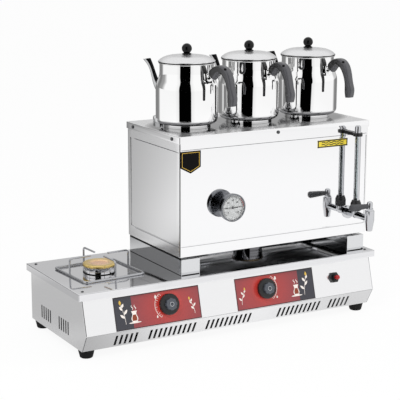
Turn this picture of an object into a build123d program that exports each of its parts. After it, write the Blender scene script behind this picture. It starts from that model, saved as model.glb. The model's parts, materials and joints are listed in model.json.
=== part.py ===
from build123d import *
from math import atan2, cos, degrees, radians, sin
import os

# A countertop gas tea boiler: a cabinet with a side hob, and a water boiler that carries three teapots.
# +X is to the user's right, -Y faces the user, +Z is up. All sizes are in millimetres.

# Cabinet
base_width = 810
base_depth = 305
lip_height = 16
lip_round = 2
hob_sheet = 1.2
wall_sheet = 1.0
cabinet_height = 138          # hob surface to the cabinet's underside
cabinet_inset = 11            # side walls, in from the lip's outer face
face_top_inset = 10.5         # upper front face where it meets the lip
fold_overhang = 11.5          # the front's fold, ahead of the lip
fold_drop = 96.5              # the fold below the hob surface
face_foot_inset = 12.5        # lower front face at the cabinet's underside
rear_inset = 3
floor_sheet = 1.2
sheet_gap = 0.3               # between loose sheet edges

# Vent slots
slot_width = 5.8
slot_pitch = 12.7
slot_length = 31
front_slot_counts = [5, 10, 10, 10, 5]
front_slot_centers = [-289, -169.5, -18.5, 180, 298]
front_slot_drop = 3.5         # below the middle of the lower front face
side_slot_count = 5
side_slot_centers = [112, 214]
side_slot_drop = 103.5        # middle of the side slots below the hob surface

# Feet
foot_height = 20
foot_top_radius = 18.5
foot_floor_radius = 15
foot_inset = 20               # foot centre, in from the cabinet's corner

# Hob burner and the like one under the boiler
burner_x = -282
burner_y = 154
cup_radius = 36.5
cup_wall = 2.5
cup_height = 16
cup_depth = 14                # cup below the hob surface
cup_groove = 1.2
burner_hole_gap = 1.0
burner_cap_radius = 39
burner_cap_height = 6
cap_seat_gap = 0.3
cap_recess_radius = 21
cap_recess_depth = 1.6
port_count = 24
port_width = 2.6
port_height = 1.4
port_depth = 4
cap_hub_gap = 0.8
cap_bevel = 2
venturi_radius = 10
venturi_bend = 18
venturi_bore = 6.5
bell_radius = 15
bell_length = 14
burner_leg_radius = 6
burner_leg_pad = 14

# Loose wire pan support
wire_radius = 2.5
prong_wire_radius = 2.3
pan_half = 78
pan_corner = 10
pan_prong_reach = 55
pan_prong_height = 41.5
pan_bend = 8
pan_turn = 3.5                # the loose support stands a little turned
pan_rest_gap = 0.3

# Gas valves, knobs and igniter, all square to the sloping front face
knob_left_x = -183
knob_right_x = 81
igniter_x = 281
control_drop = 54             # control centres below the hob surface
valve_width = 24
valve_depth = 32
valve_rise = 13
valve_fall = 30
valve_nose_radius = 7
valve_nose_gap = 1
nose_proud = 0.8
spindle_radius = 4
spindle_run = 0.05            # radial running clearance
spindle_length = 28
spindle_proud = 15
spindle_flat = 2.6
knob_radius = 24.5
knob_skirt = 9
knob_standoff = 5.5           # knob's back face off the panel
knob_push = 4
knob_key_gap = 0.1            # the knob's bore and flat, off the spindle
knob_end_gap = 0.5
knob_bore_lead = 2
spindle_flat_lead = 1
grip_radius = 14
grip_height = 8
grip_lobes = 8
grip_dimple_radius = 3.2
grip_dimple_depth = 1.2
igniter_barrel_radius = 9
igniter_barrel_length = 42
igniter_collar_flats = 24
igniter_collar_height = 6
igniter_sleeve_radius = 8
igniter_sleeve_height = 12
button_radius = 5.5
button_proud = 9
button_run = 0.2
button_travel = 4

# Gas pipes
manifold_radius = 7
manifold_fall = 19            # manifold axis below the valve's axis
manifold_setback = 20
inlet_inset = 75              # gas inlet, in from the hob's right end
manifold_bend = 28
manifold_overrun = 22
pipe_wall = 1.2
pipe_clearance = 0.1
supply_radius = 4
elbow_radius = 7
injector_radius = 4
injector_length = 12
nozzle_flats = 19
nozzle_hex = 9
nozzle_radius = 5.5
nozzle_land = 10
nozzle_bore = 3.2
nozzle_ridges = 3
nozzle_ridge_pitch = 5
nozzle_groove = 0.8

# Spark electrodes and thermocouples
probe_radius = 2.4
probe_tip_radius = 0.9
probe_offset = 7              # probe centre outside the burner cup
probe_height = 10
probe_depth = 32
probe_spread = 28             # degrees either side of straight back

# Boiler stand
boiler_center_x = 126
boiler_width = 528
boiler_depth = 266
boiler_front_y = 24
stand_inset = 4
stand_height = 38
stand_sheet = 1.2
stand_flange = 14
stand_return = 49
bar_height = 6
bar_width = 14
bar_spread = 62
bar_end_inset = 6

# Boiler
boiler_height = 282.6
casing_wall = 2
casing_corner = 3
field_depth = 1
field_top_drop = 36
field_foot_rise = 26
field_front_margin = 4
field_side_margin = 16
casing_flange = 14
tank_gap = 12
tank_wall = 1.5
cover_sheet = 1.2
cover_apron = 16
cover_gap = 0.8
cover_round = 1.8
steam_hole_radius = 38
screw_head_radius = 4.2
screw_head_height = 2.2
screw_radius = 1.9
screw_hole_gap = 0.2
screw_length = 6
screw_drop = 9
screw_corner_inset = 34

# Filler
filler_side_inset = 77        # filler's centre, in from the boiler's left side
filler_rear_inset = 35
filler_radius = 19
filler_wall = 2
filler_rise = 9
filler_dip = 12
filler_gap = 0.3
filler_cap_radius = 22
filler_cap_top = 13
filler_cap_wall = 2
filler_cap_foot = 2.5

# Thermometer
thermometer_inset = 124       # from the boiler's left side
thermometer_rise = 111.5      # above the boiler's underside
case_radius = 33
case_depth = 13
case_wall = 1.5
case_standoff = 21            # case back off the boiler face
case_lip = 2
dial_setback = 4.5
dial_thickness = 0.8
glass_setback = 1
glass_thickness = 1.5
seat_gap = 0.3
needle_reach = 25
needle_tail = 13
needle_half_width = 1.1
needle_thickness = 0.6
needle_hub_radius = 3.2
needle_pin_radius = 1.0
needle_run = 0.05
needle_lift = 0.9
stem_radius = 5
stem_length = 95
stem_flats = 22
stem_hex = 8
stem_hole_gap = 0.3

# Tap and gauge, on one pipe
tap_inset = 53                # from the boiler's right side
tap_rise = 57                 # pipe axis above the boiler's underside
tap_reach = 88                # barrel axis ahead of the boiler face
pipe_radius = 8.5
pipe_bore = 5
pipe_tail = 16                # pipe behind the boiler face
pipe_hole_gap = 0.3
rosette_radius = 16
rosette_thickness = 4
gauge_reach = 32
gauge_boss_radius = 9.5
gauge_boss_top = 10
barrel_radius = 11.5
barrel_top = 21
barrel_waist = 4
barrel_foot = 30
outlet_radius = 7.5
outlet_bore = 4.5
plug_radius = 7
plug_run = 0.05
plug_foot = 16
plug_top = 20.5
port_radius = 4
stem_neck_radius = 4.5
bonnet_flats = 17
bonnet_height = 4.5
bonnet_gap = 0.1
hub_radius = 7
hub_foot = 26
hub_top = 43
lever_rise = 32
lever_length = 58
lever_thin = 5.5
lever_thick = 8.6
lever_spigot_radius = 2.8
lever_spigot = 4
nut_flats = 25
nut_height = 26
nut_bore_gap = 0.2
gauge_glass_radius = 5.5
gauge_glass_wall = 1.2
gauge_top_drop = 31           # bracket's underside below the cover's top
guard_radius = 8
guard_wall = 0.9
guard_open = 140              # degrees
guard_facing = 180
bracket_height = 8
bracket_radius = 11.5
bracket_arm = 13
gauge_cap_radius = 7.5
gauge_cap_height = 18
gauge_cap_depth = 6

# Teapots
pot_pitch = 172
pot_turns = [-70, -77, -77]   # each handle's heading, degrees from +X
pot_radius = 74
pot_wall = 1.2
pot_foot_radius = 57
pot_foot_height = 8
pot_heel = 14
pot_shoulder_foot = 88
pot_shoulder_top = 133
pot_neck_radius = 64.5
pot_height = 151
pot_bead = 1.6
pot_bead_offset = 1
pot_rest_gap = 0.3
lid_radius = 67.5
lid_sheet = 1.0
lid_rise = 18
lid_rim = 3
lid_crown_radius = 42
lid_crown_drop = 2.8
lid_rest_gap = 0.3
lid_skirt_gap = 0.6
lid_skirt = 7
knob_ball_radius = 12
knob_ball_height = 13.5
knob_waist_radius = 7
knob_flare_radius = 11
knob_foot_height = 1.2
knob_waist_height = 4
spout_path = [(58, 60), (84, 81), (100, 101), (108, 120), (117, 138), (128.5, 151.5)]
spout_radii = [17, 11, 7.6, 6.2, 6.4, 9.2]
spout_slopes = [30, 44, 60, 66, 60, 80]      # each section's heading, degrees up from level
spout_wall = 1.0
spout_seat_gap = 0.05
handle_path = [(80, 124), (94, 140), (112, 142), (129, 122), (137, 92), (139, 60)]
handle_widths = [17, 19, 20, 20, 19, 18]
handle_depths = [20, 20, 19, 18, 17, 15]
handle_round = 5
ferrule_radius = 8.5
ferrule_plate = 26

# Heights and places that follow
floor_z = foot_height
hob_z = foot_height + cabinet_height
cabinet_top = hob_z - hob_sheet
cabinet_width = base_width - 2 * cabinet_inset
cabinet_rear = base_depth - rear_inset
fold_z = hob_z - fold_drop
lip_foot_z = hob_z - lip_height
face_slope = (face_top_inset + fold_overhang) / (fold_drop - lip_height)
face_top_y = face_top_inset + (lip_height - hob_sheet) * face_slope
face_angle = degrees(atan2(face_top_inset + fold_overhang, fold_drop - lip_height))
control_z = hob_z - control_drop
control_y = face_top_inset - (control_drop - lip_height) * face_slope
stand_top = hob_z + stand_height
boiler_foot = stand_top + bar_height
boiler_top = boiler_foot + boiler_height
casing_top = boiler_top - cover_sheet
boiler_y = boiler_front_y + boiler_depth / 2
boiler_left = boiler_center_x - boiler_width / 2
filler_x = boiler_left + filler_side_inset
filler_y = boiler_front_y + boiler_depth - filler_rear_inset
thermometer_x = boiler_left + thermometer_inset
tap_x = boiler_left + boiler_width - tap_inset
manifold_turn_x = base_width / 2 - inlet_inset
field_y = boiler_front_y + field_depth
field_foot = boiler_foot + field_foot_rise
field_top = boiler_top - field_top_drop
tank_side = casing_wall + tank_gap
pipe_z = boiler_foot + tap_rise
barrel_y = field_y - tap_reach
gauge_y = field_y - gauge_reach
bracket_z = boiler_top - gauge_top_drop

# How far a cutter runs on past the piece that it cuts
far = 60

nodes = {}


def add(name, *solids):
    """Keep one sub-part: a single solid, or a group of separate ones."""
    nodes[name] = Compound(list(solids)) if len(solids) > 1 else solids[0]


def control_plane(x):
    """Local frame of a control: z out of the sloping front face, y up along it."""
    normal = Vector(0, -cos(radians(face_angle)), sin(radians(face_angle)))
    return Plane(origin=(x, control_y, control_z), x_dir=(1, 0, 0), z_dir=normal)


def rod(radius, start, end):
    """Round bar between two points."""
    axis = Vector(*end) - Vector(*start)
    return extrude(Plane(origin=start, z_dir=axis) * Circle(radius), axis.length)


def tube(radius, bore, start, end):
    return rod(radius, start, end) - rod(bore, start, end)


def post(radius, height, foot=0):
    """Round bar along Z from the given foot."""
    return Pos(0, 0, foot + height / 2) * Cylinder(radius, height)


def bent_rod(radius, path):
    """Round bar swept along a path."""
    return sweep(Plane(origin=path @ 0, z_dir=path % 0) * Circle(radius), path=path)


def hexagon(flats, height):
    return extrude(RegularPolygon(flats / 2, 6, major_radius=False), height)


def revolved(points):
    """Solid of revolution about Z from (radius, height) points."""
    return revolve(Plane.XZ * make_face(Polyline(*points, close=True)), Axis.Z)


def block(x0, x1, y0, y1, z0, z1):
    return Pos((x0 + x1) / 2, (y0 + y1) / 2, (z0 + z1) / 2) * Box(x1 - x0, y1 - y0, z1 - z0)


def cabinet():
    outline = [(face_top_y, cabinet_top), (-fold_overhang, fold_z), (face_foot_inset, floor_z),
               (cabinet_rear, floor_z), (cabinet_rear, cabinet_top)]
    side = Plane.YZ.offset(-cabinet_width / 2) * make_face(Polyline(*outline, close=True))
    body = extrude(side, cabinet_width)
    ends = body.faces().sort_by(Axis.Z)
    body = offset(body, amount=-wall_sheet, openings=[ends[0], ends[-1]])

    lower = Vector(0, face_foot_inset + fold_overhang, floor_z - fold_z)
    middle = ((-fold_overhang + face_foot_inset) / 2, (fold_z + floor_z) / 2)
    lower_face = Plane(origin=(0, *middle), x_dir=(1, 0, 0), z_dir=lower.cross(Vector(1, 0, 0)))
    cutter = Box(slot_width, slot_length, 6 * wall_sheet)
    for count, center in zip(front_slot_counts, front_slot_centers):
        for place in GridLocations(slot_pitch, 1, count, 1):
            body -= lower_face * Pos(center, -front_slot_drop, 0) * place * cutter
    across = Box(base_width, slot_width, slot_length)
    for center in side_slot_centers:
        for place in GridLocations(1, slot_pitch, 1, side_slot_count):
            body -= Pos(0, center, hob_z - side_slot_drop) * place * across

    for x, radius in [(knob_left_x, valve_nose_radius), (knob_right_x, valve_nose_radius),
                      (igniter_x, igniter_barrel_radius)]:
        body -= control_plane(x) * Cylinder(radius + valve_nose_gap, 8 * wall_sheet)
    inlet = manifold_end()
    body -= rod(nozzle_radius + sheet_gap, inlet, inlet + Vector(0, far, 0))
    add("cabinet_body", body)

    top = block(-base_width / 2, base_width / 2, 0, base_depth, lip_foot_z, hob_z)
    top = fillet(top.edges().group_by(Axis.Z)[-1] + top.edges().filter_by(Axis.Z), lip_round)
    top -= block(-base_width / 2 + hob_sheet, base_width / 2 - hob_sheet,
                 hob_sheet, base_depth - hob_sheet, lip_foot_z - 1, cabinet_top)
    for x in (burner_x, boiler_center_x):
        top -= Pos(x, burner_y, cabinet_top) * Cylinder(cup_radius + burner_hole_gap, 4 * hob_sheet)
        for turn in (-probe_spread, probe_spread):
            top -= probe_place(x, turn) * Cylinder(probe_radius + sheet_gap, 4 * hob_sheet)
    add("hob_top", top)

    edge = wall_sheet + sheet_gap
    front = face_foot_inset + wall_sheet + 2 * sheet_gap
    add("cabinet_floor", block(-cabinet_width / 2 + edge, cabinet_width / 2 - edge,
                               front, cabinet_rear - edge, floor_z, floor_z + floor_sheet))

    foot_x = cabinet_width / 2 - foot_inset
    foot_y = [face_foot_inset + foot_inset, cabinet_rear - foot_inset]
    foot = revolved([(0, 0), (foot_floor_radius - 1.5, 0), (foot_floor_radius, 1.5),
                     (foot_top_radius, foot_height - 4), (foot_top_radius, foot_height), (0, foot_height)])
    add("feet", *[Pos(x, y, 0) * foot for x in (-foot_x, foot_x) for y in foot_y])


def probe_place(x, turn):
    """Place of a probe behind a burner, at hob level."""
    return Pos(x, burner_y, cabinet_top) * Rot(0, 0, 90 + turn) * Pos(cup_radius + probe_offset, 0, 0)


def burner(x):
    """Burner cup with its neck, mixing tube, bell mouth and support leg."""
    injector = injector_seat(x)
    low = injector.Z
    cup_foot = hob_z - cup_depth
    rim = hob_z + cup_height
    cup = revolved([(0, cup_foot), (cup_radius - 4, cup_foot), (cup_radius, cup_foot + 4),
                    (cup_radius, hob_z + 6), (cup_radius - cup_groove, hob_z + 7),
                    (cup_radius - cup_groove, hob_z + 8.5), (cup_radius, hob_z + 9.5),
                    (cup_radius, rim), (cup_radius - cup_wall, rim),
                    (cup_radius - cup_wall, cup_foot + 6), (cup_radius - cup_wall - 4, cup_foot + cup_wall),
                    (0, cup_foot + cup_wall)])
    body = Pos(x, burner_y, 0) * cup
    mouth = injector.Y + injector_length + 5
    inside = cup_foot + cup_wall
    path = FilletPolyline((x, mouth + bell_length / 2, low), (x, burner_y, low), (x, burner_y, inside - 0.5),
                          radius=venturi_bend)
    body += bent_rod(venturi_radius, path)
    bell = revolved([(0, 0), (bell_radius, 0), (bell_radius, 2), (venturi_radius + 0.5, bell_length), (0, bell_length)])
    body += Pos(x, mouth, low) * Rot(-90, 0, 0) * bell
    bore = FilletPolyline((x, mouth - 1, low), (x, burner_y, low), (x, burner_y, inside + 1), radius=venturi_bend)
    body -= bent_rod(venturi_bore, bore)
    flare = Cone(bell_radius - 2, venturi_bore, bell_length / 2, align=(Align.CENTER, Align.CENTER, Align.MIN))
    body -= Pos(x, mouth, low) * Rot(-90, 0, 0) * flare
    leg_y = burner_y - 2 * venturi_bend
    leg_foot = floor_z + floor_sheet
    leg = post(burner_leg_radius, low - venturi_radius + 2 - leg_foot) + post(burner_leg_pad, 2)
    body += Pos(x, leg_y, leg_foot) * leg
    return body


def burner_cap(x):
    """Brass cap with flame ports under its edge and a hub that centres it in the cup."""
    seat = hob_z + cup_height + cap_seat_gap
    top = seat + burner_cap_height
    inner = cup_radius - cup_wall - cap_hub_gap
    floor = top - cap_recess_depth
    cap = revolved([(0, seat - 2 * cap_bevel), (inner - cap_bevel, seat - 2 * cap_bevel), (inner, seat),
                    (burner_cap_radius, seat), (burner_cap_radius, top - cap_bevel),
                    (burner_cap_radius - cap_bevel, top), (cap_recess_radius + cap_bevel, top),
                    (cap_recess_radius, floor), (0, floor)])
    notch = Pos(burner_cap_radius, 0, seat) * Box(2 * port_depth, port_width, 2 * port_height)
    cap -= [Rot(0, 0, turn * 360 / port_count) * notch for turn in range(port_count)]
    return Pos(x, burner_y, 0) * cap


def injector_seat(x):
    """Centre of the injector's elbow: on the valve's supply line, ahead of the burner."""
    inlet = control_plane(0).from_local_coords(Vector(0, 0, -manifold_setback))
    return Vector(x, inlet.Y, inlet.Z)


def manifold_end():
    """Where the manifold meets the inlet nozzle, inside the rear wall."""
    line = manifold_line()
    return Vector(manifold_turn_x, cabinet_rear - wall_sheet - 5, line.Z)


def manifold_line():
    """A point on the manifold's straight run."""
    return control_plane(0).from_local_coords(Vector(0, -manifold_fall, -manifold_setback))


def gas_train():
    line = manifold_line()
    valves = []
    pipes = []
    injectors = []
    for x, target in [(knob_left_x, burner_x), (knob_right_x, boiler_center_x)]:
        valve = block(-valve_width / 2, valve_width / 2, -valve_fall, valve_rise,
                      -valve_depth - 4, -4)
        valve += Pos(0, 0, -2) * Cylinder(valve_nose_radius, 2 * (2 + nose_proud))
        valve -= Pos(0, -manifold_fall, -manifold_setback) * Rot(0, 90, 0) * Cylinder(
            manifold_radius + pipe_clearance, 2 * valve_width)
        valve -= Pos(0, 0, spindle_proud - spindle_length / 2) * Cylinder(
            spindle_radius + spindle_run, spindle_length + 0.6)
        valves.append(control_plane(x) * valve)

        seat = injector_seat(target)
        toward = 1 if target > x else -1
        start = (x + toward * valve_width / 2, seat.Y, seat.Z)
        pipes.append(rod(supply_radius, start, seat) + Pos(seat) * Sphere(elbow_radius)
                     + rod(elbow_radius - 1, seat, seat + Vector(0, elbow_radius, 0)))
        tip = seat + Vector(0, elbow_radius, 0)
        jet = rod(injector_radius, tip, tip + Vector(0, injector_length - 3, 0))
        jet += extrude(Plane(origin=tip, z_dir=(0, 1, 0)) * RegularPolygon(5.5, 6), 4)
        jet += rod(injector_radius - 1.5, tip, tip + Vector(0, injector_length, 0))
        jet -= rod(0.8, tip + Vector(0, 5, 0), tip + Vector(0, injector_length + 1, 0))
        injectors.append(jet)
    add("gas_valves", *valves)
    add("injectors", *injectors)

    end = manifold_end()
    start = Vector(knob_left_x - manifold_overrun, line.Y, line.Z)
    corner = Vector(manifold_turn_x, line.Y, line.Z)
    manifold = bent_rod(manifold_radius, FilletPolyline(start, corner, end, radius=manifold_bend))
    inside = start + Vector(pipe_wall, 0, 0)
    outside = end + Vector(0, 1, 0)
    manifold -= bent_rod(manifold_radius - pipe_wall, FilletPolyline(inside, corner, outside, radius=manifold_bend))
    add("gas_pipes", manifold, *pipes)

    wall = Vector(end.X, cabinet_rear, end.Z)
    tail = nozzle_land + nozzle_ridges * nozzle_ridge_pitch
    nozzle = rod(nozzle_radius, end, wall)
    nozzle += extrude(Plane(origin=wall, z_dir=(0, 1, 0)) * RegularPolygon(
        nozzle_flats / 2, 6, major_radius=False), nozzle_hex)
    face = wall + Vector(0, nozzle_hex, 0)
    nozzle += rod(nozzle_radius, face, face + Vector(0, tail, 0))
    for ridge in range(nozzle_ridges):
        groove = face + Vector(0, nozzle_land + ridge * nozzle_ridge_pitch, 0)
        nozzle -= tube(nozzle_radius + 1, nozzle_radius - nozzle_groove, groove, groove + Vector(0, 2, 0))
    nozzle -= rod(nozzle_bore, end, face + Vector(0, tail + 1, 0))
    add("hose_nozzle", nozzle)


def knob():
    """Round skirt, raised lobed grip and blind bore with a flat for the spindle."""
    foot = knob_standoff
    step = foot + knob_skirt
    top = step + grip_height
    body = revolved([(0, foot), (knob_radius, foot), (knob_radius, step - 2.5), (knob_radius - 2, step),
                     (grip_radius + 1, step + 0.6), (0, step + 0.6)])
    grip = post(grip_radius, grip_height, step)
    lobe = Pos(grip_radius + 2.6, 0, 0) * post(4, grip_height, step + 0.6)
    grip -= [Rot(0, 0, (turn + 0.5) * 360 / grip_lobes) * lobe for turn in range(grip_lobes)]
    body += chamfer(grip.edges().group_by(Axis.Z)[-1], 0.8)
    body -= Pos(0, 0, top) * Cylinder(grip_dimple_radius, 2 * grip_dimple_depth)
    depth = spindle_proud + knob_push + knob_end_gap - foot
    hole = post(spindle_radius + knob_key_gap, depth, foot)
    hole -= block(-far, far, spindle_flat + knob_key_gap, far, foot + knob_bore_lead, far)
    return body - hole


def controls():
    spindle = post(spindle_radius, spindle_length, spindle_proud - spindle_length)
    spindle -= block(-far, far, spindle_flat, far, knob_standoff - knob_push + spindle_flat_lead, far)
    for side, x in [("left", knob_left_x), ("right", knob_right_x)]:
        add("spindle_" + side, control_plane(x) * spindle)
        add("knob_" + side, control_plane(x) * knob())

    barrel = post(igniter_barrel_radius, igniter_barrel_length, -igniter_barrel_length)
    barrel += hexagon(igniter_collar_flats, igniter_collar_height)
    barrel += post(igniter_sleeve_radius, igniter_sleeve_height)
    well = igniter_sleeve_height + button_travel + 4
    barrel -= post(button_radius + button_run, well + 1, igniter_sleeve_height - well)
    add("igniter_body", control_plane(igniter_x) * barrel)
    button_top = igniter_sleeve_height + button_proud
    button_foot = igniter_sleeve_height - well + button_travel + 0.5
    button = revolved([(0, button_foot), (button_radius, button_foot), (button_radius, button_top - 1.5),
                       (button_radius - 1.5, button_top), (0, button_top)])
    add("igniter_button", control_plane(igniter_x) * button)


def burners():
    add("burner_bodies", burner(burner_x), burner(boiler_center_x))
    add("hob_burner_cap", burner_cap(burner_x))
    add("boiler_burner_cap", burner_cap(boiler_center_x))
    electrodes = []
    thermocouples = []
    for x in (burner_x, boiler_center_x):
        for turn, group in [(-probe_spread, electrodes), (probe_spread, thermocouples)]:
            probe = post(probe_radius, probe_depth + 3, -probe_depth) + post(probe_tip_radius, probe_height)
            group.append(probe_place(x, turn) * probe)
    add("spark_electrodes", *electrodes)
    add("thermocouples", *thermocouples)


def pan_support():
    """Square wire loop with four uprights that bend inward over the burner."""
    low = wire_radius + pan_rest_gap
    corners = [(-pan_half, -pan_half, low), (pan_half, -pan_half, low), (pan_half, pan_half, low),
               (-pan_half, pan_half, low)]
    loop_path = FilletPolyline(*corners, radius=pan_corner, close=True)
    loop = bent_rod(wire_radius, loop_path)
    top = pan_prong_height
    prong_path = FilletPolyline((pan_half, 0, low), (pan_half, 0, top), (pan_half - pan_prong_reach, 0, top),
                                radius=pan_bend)
    prong = bent_rod(prong_wire_radius, prong_path)
    for turn in range(4):
        loop += Rot(0, 0, 90 * turn) * prong
    add("pan_support", Pos(burner_x, burner_y, hob_z) * Rot(0, 0, pan_turn) * loop)


def stand():
    half = boiler_width / 2 - stand_inset
    left, right = boiler_center_x - half, boiler_center_x + half
    front, rear = boiler_front_y, boiler_front_y + boiler_depth
    s = stand_sheet
    frame = block(left, right, front, rear, hob_z, stand_top)
    frame -= block(left + s, right - s, front + s, rear - s, hob_z + s, stand_top - s)
    f = stand_flange
    frame -= block(left + f, right - f, front + f, rear - f, hob_z - 1, stand_top + 1)
    frame -= block(left + stand_return, right - stand_return, front - 1, front + f + 1, hob_z - 1, stand_top + 1)
    add("boiler_stand", frame)
    bars = [block(left + bar_end_inset, right - bar_end_inset, boiler_y + y - bar_width / 2,
                  boiler_y + y + bar_width / 2, stand_top, boiler_foot) for y in (-bar_spread, bar_spread)]
    add("stand_bars", *bars)


def boiler():
    half = boiler_width / 2
    left, right = boiler_center_x - half, boiler_center_x + half
    front, rear = boiler_front_y, boiler_front_y + boiler_depth
    shell = block(left, right, front, rear, boiler_foot, casing_top)
    shell = fillet(shell.edges().filter_by(Axis.Z), casing_corner)
    w = casing_wall
    shell -= block(left + w, right - w, front + w, rear - w, boiler_foot + w, casing_top + 1)
    f = casing_flange + w
    shell -= block(left + f, right - f, front + f, rear - f, boiler_foot - 1, casing_top + 1)
    d, m = field_depth, field_front_margin
    shell -= block(left + m, right - m, front - 1, front + d, field_foot, field_top)
    m = field_side_margin
    shell -= block(left - 1, left + d, front + m, rear - m, field_foot, field_top)
    shell -= block(right - d, right + 1, front + m, rear - m, field_foot, field_top)

    t = tank_side
    tank = block(left + t, right - t, front + t, rear - t, boiler_foot + w, casing_top)
    tank = fillet(tank.edges().filter_by(Axis.Z), 12)
    tank -= fillet(block(left + t + tank_wall, right - t - tank_wall, front + t + tank_wall, rear - t - tank_wall,
                         boiler_foot + w + tank_wall, casing_top + 1).edges().filter_by(Axis.Z), 12 - tank_wall)
    rim = block(left + w + sheet_gap, right - w - sheet_gap, front + w + sheet_gap, rear - w - sheet_gap,
                casing_top - tank_wall, casing_top)
    tank += rim - block(left + t + 1, right - t - 1, front + t + 1, rear - t - 1, boiler_foot, casing_top + 1)

    g = cover_gap + cover_sheet
    cover = block(left - g, right + g, front - g, rear + g, boiler_top - cover_apron, boiler_top)
    cover = fillet(cover.edges().group_by(Axis.Z)[-1] + cover.edges().filter_by(Axis.Z), cover_round)
    g = cover_gap
    cover -= block(left - g, right + g, front - g, rear + g, boiler_top - cover_apron - 1, casing_top)
    for x in pot_places():
        cover -= Pos(x, boiler_y, boiler_top) * Cylinder(steam_hole_radius, 6 * cover_sheet)
    cover -= Pos(filler_x, filler_y, boiler_top) * Cylinder(filler_radius + filler_gap, 6 * cover_sheet)

    thermometer_z = boiler_foot + thermometer_rise
    holes = [rod(stem_radius + stem_hole_gap, (thermometer_x, front - 5, thermometer_z),
                 (thermometer_x, front + 40, thermometer_z)),
             rod(pipe_radius + pipe_hole_gap, (tap_x, front - 5, pipe_z), (tap_x, front + 40, pipe_z))]
    shell -= holes
    tank -= holes

    screws = []
    head = post(screw_head_radius, screw_head_height)
    head = fillet(head.edges().group_by(Axis.Z)[-1], 1.2)
    screw = head + post(screw_radius, screw_length, -screw_length)
    hole = Cylinder(screw_radius + screw_hole_gap, 2 * screw_length + 4)
    g = cover_gap + cover_sheet
    z = boiler_top - screw_drop
    i = screw_corner_inset
    places = [((boiler_center_x, front - g, z), (0, -1, 0)), ((boiler_center_x, rear + g, z), (0, 1, 0))]
    for y in (front + i, rear - i):
        places += [((left - g, y, z), (-1, 0, 0)), ((right + g, y, z), (1, 0, 0))]
    for place, heading in places:
        plane = Plane(origin=place, z_dir=heading)
        screws.append(plane * screw)
        cover -= plane * hole
        shell -= plane * hole
    add("boiler_casing", shell)
    add("boiler_tank", tank)
    add("boiler_cover", cover)
    add("cover_screws", *screws)

    low, high = boiler_top - filler_dip, boiler_top + filler_rise
    neck = Pos(filler_x, filler_y, 0) * revolved([
        (filler_radius - filler_wall, low), (filler_radius, low), (filler_radius, boiler_top),
        (filler_cap_radius, boiler_top), (filler_cap_radius, boiler_top + 1.2), (filler_radius, boiler_top + 1.2),
        (filler_radius, high), (filler_radius - filler_wall, high)])
    add("filler_neck", neck)
    foot, top = boiler_top + filler_cap_foot, boiler_top + filler_cap_top
    cap_bore = filler_cap_radius - filler_cap_wall
    cap = revolved([(cap_bore, foot), (filler_cap_radius, foot), (filler_cap_radius, top - 1.5),
                    (filler_cap_radius - 1.5, top), (0, top), (0, top - filler_cap_wall), (cap_bore, top - filler_cap_wall)])
    add("filler_cap", Pos(filler_x, filler_y, 0) * cap)


def pot_places():
    return [boiler_center_x + step * pot_pitch for step in (-1, 0, 1)]


def thermometer():
    """Dial thermometer, built facing +Z from the boiler face and then turned to face the user."""
    back = case_standoff
    face = back + case_depth
    ledge = face - dial_setback - dial_thickness
    inner = case_radius - case_wall
    case = revolved([(0, back), (case_radius - 3, back), (case_radius, back + 3), (case_radius, face - 1),
                     (case_radius - 1, face), (inner - case_lip, face), (inner - case_lip, face - glass_setback),
                     (inner, face - glass_setback), (inner, back + case_wall), (0, back + case_wall)])
    pin_top = ledge + dial_thickness + needle_lift + needle_thickness + 0.2
    case += post(6, ledge - back, back)
    case += post(needle_pin_radius, pin_top - back, back)
    dial = post(inner - seat_gap, dial_thickness, ledge)
    dial -= Cylinder(needle_pin_radius + 0.3, 3 * face)
    glass_top = face - glass_setback
    glass = post(inner - seat_gap, glass_thickness, glass_top - glass_thickness)
    outline = Polyline((-needle_reach, 0), (0, needle_half_width), (needle_tail, needle_half_width * 0.8),
                       (needle_tail, -needle_half_width * 0.8), (0, -needle_half_width), close=True)
    needle = extrude(make_face(outline), needle_thickness)
    needle += extrude(Circle(needle_hub_radius), needle_thickness)
    needle -= Cylinder(needle_pin_radius + needle_run, 9)
    needle = Pos(0, 0, ledge + dial_thickness + needle_lift) * needle
    stem = post(stem_radius, stem_length, back - stem_length)
    stem += hexagon(stem_flats, stem_hex)
    front = Plane(origin=(thermometer_x, field_y, boiler_foot + thermometer_rise), x_dir=(1, 0, 0), z_dir=(0, -1, 0))
    for name, solid in [("case", case), ("dial", dial), ("glass", glass), ("needle", needle), ("stem", stem)]:
        add("thermometer_" + name, front * solid)


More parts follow.
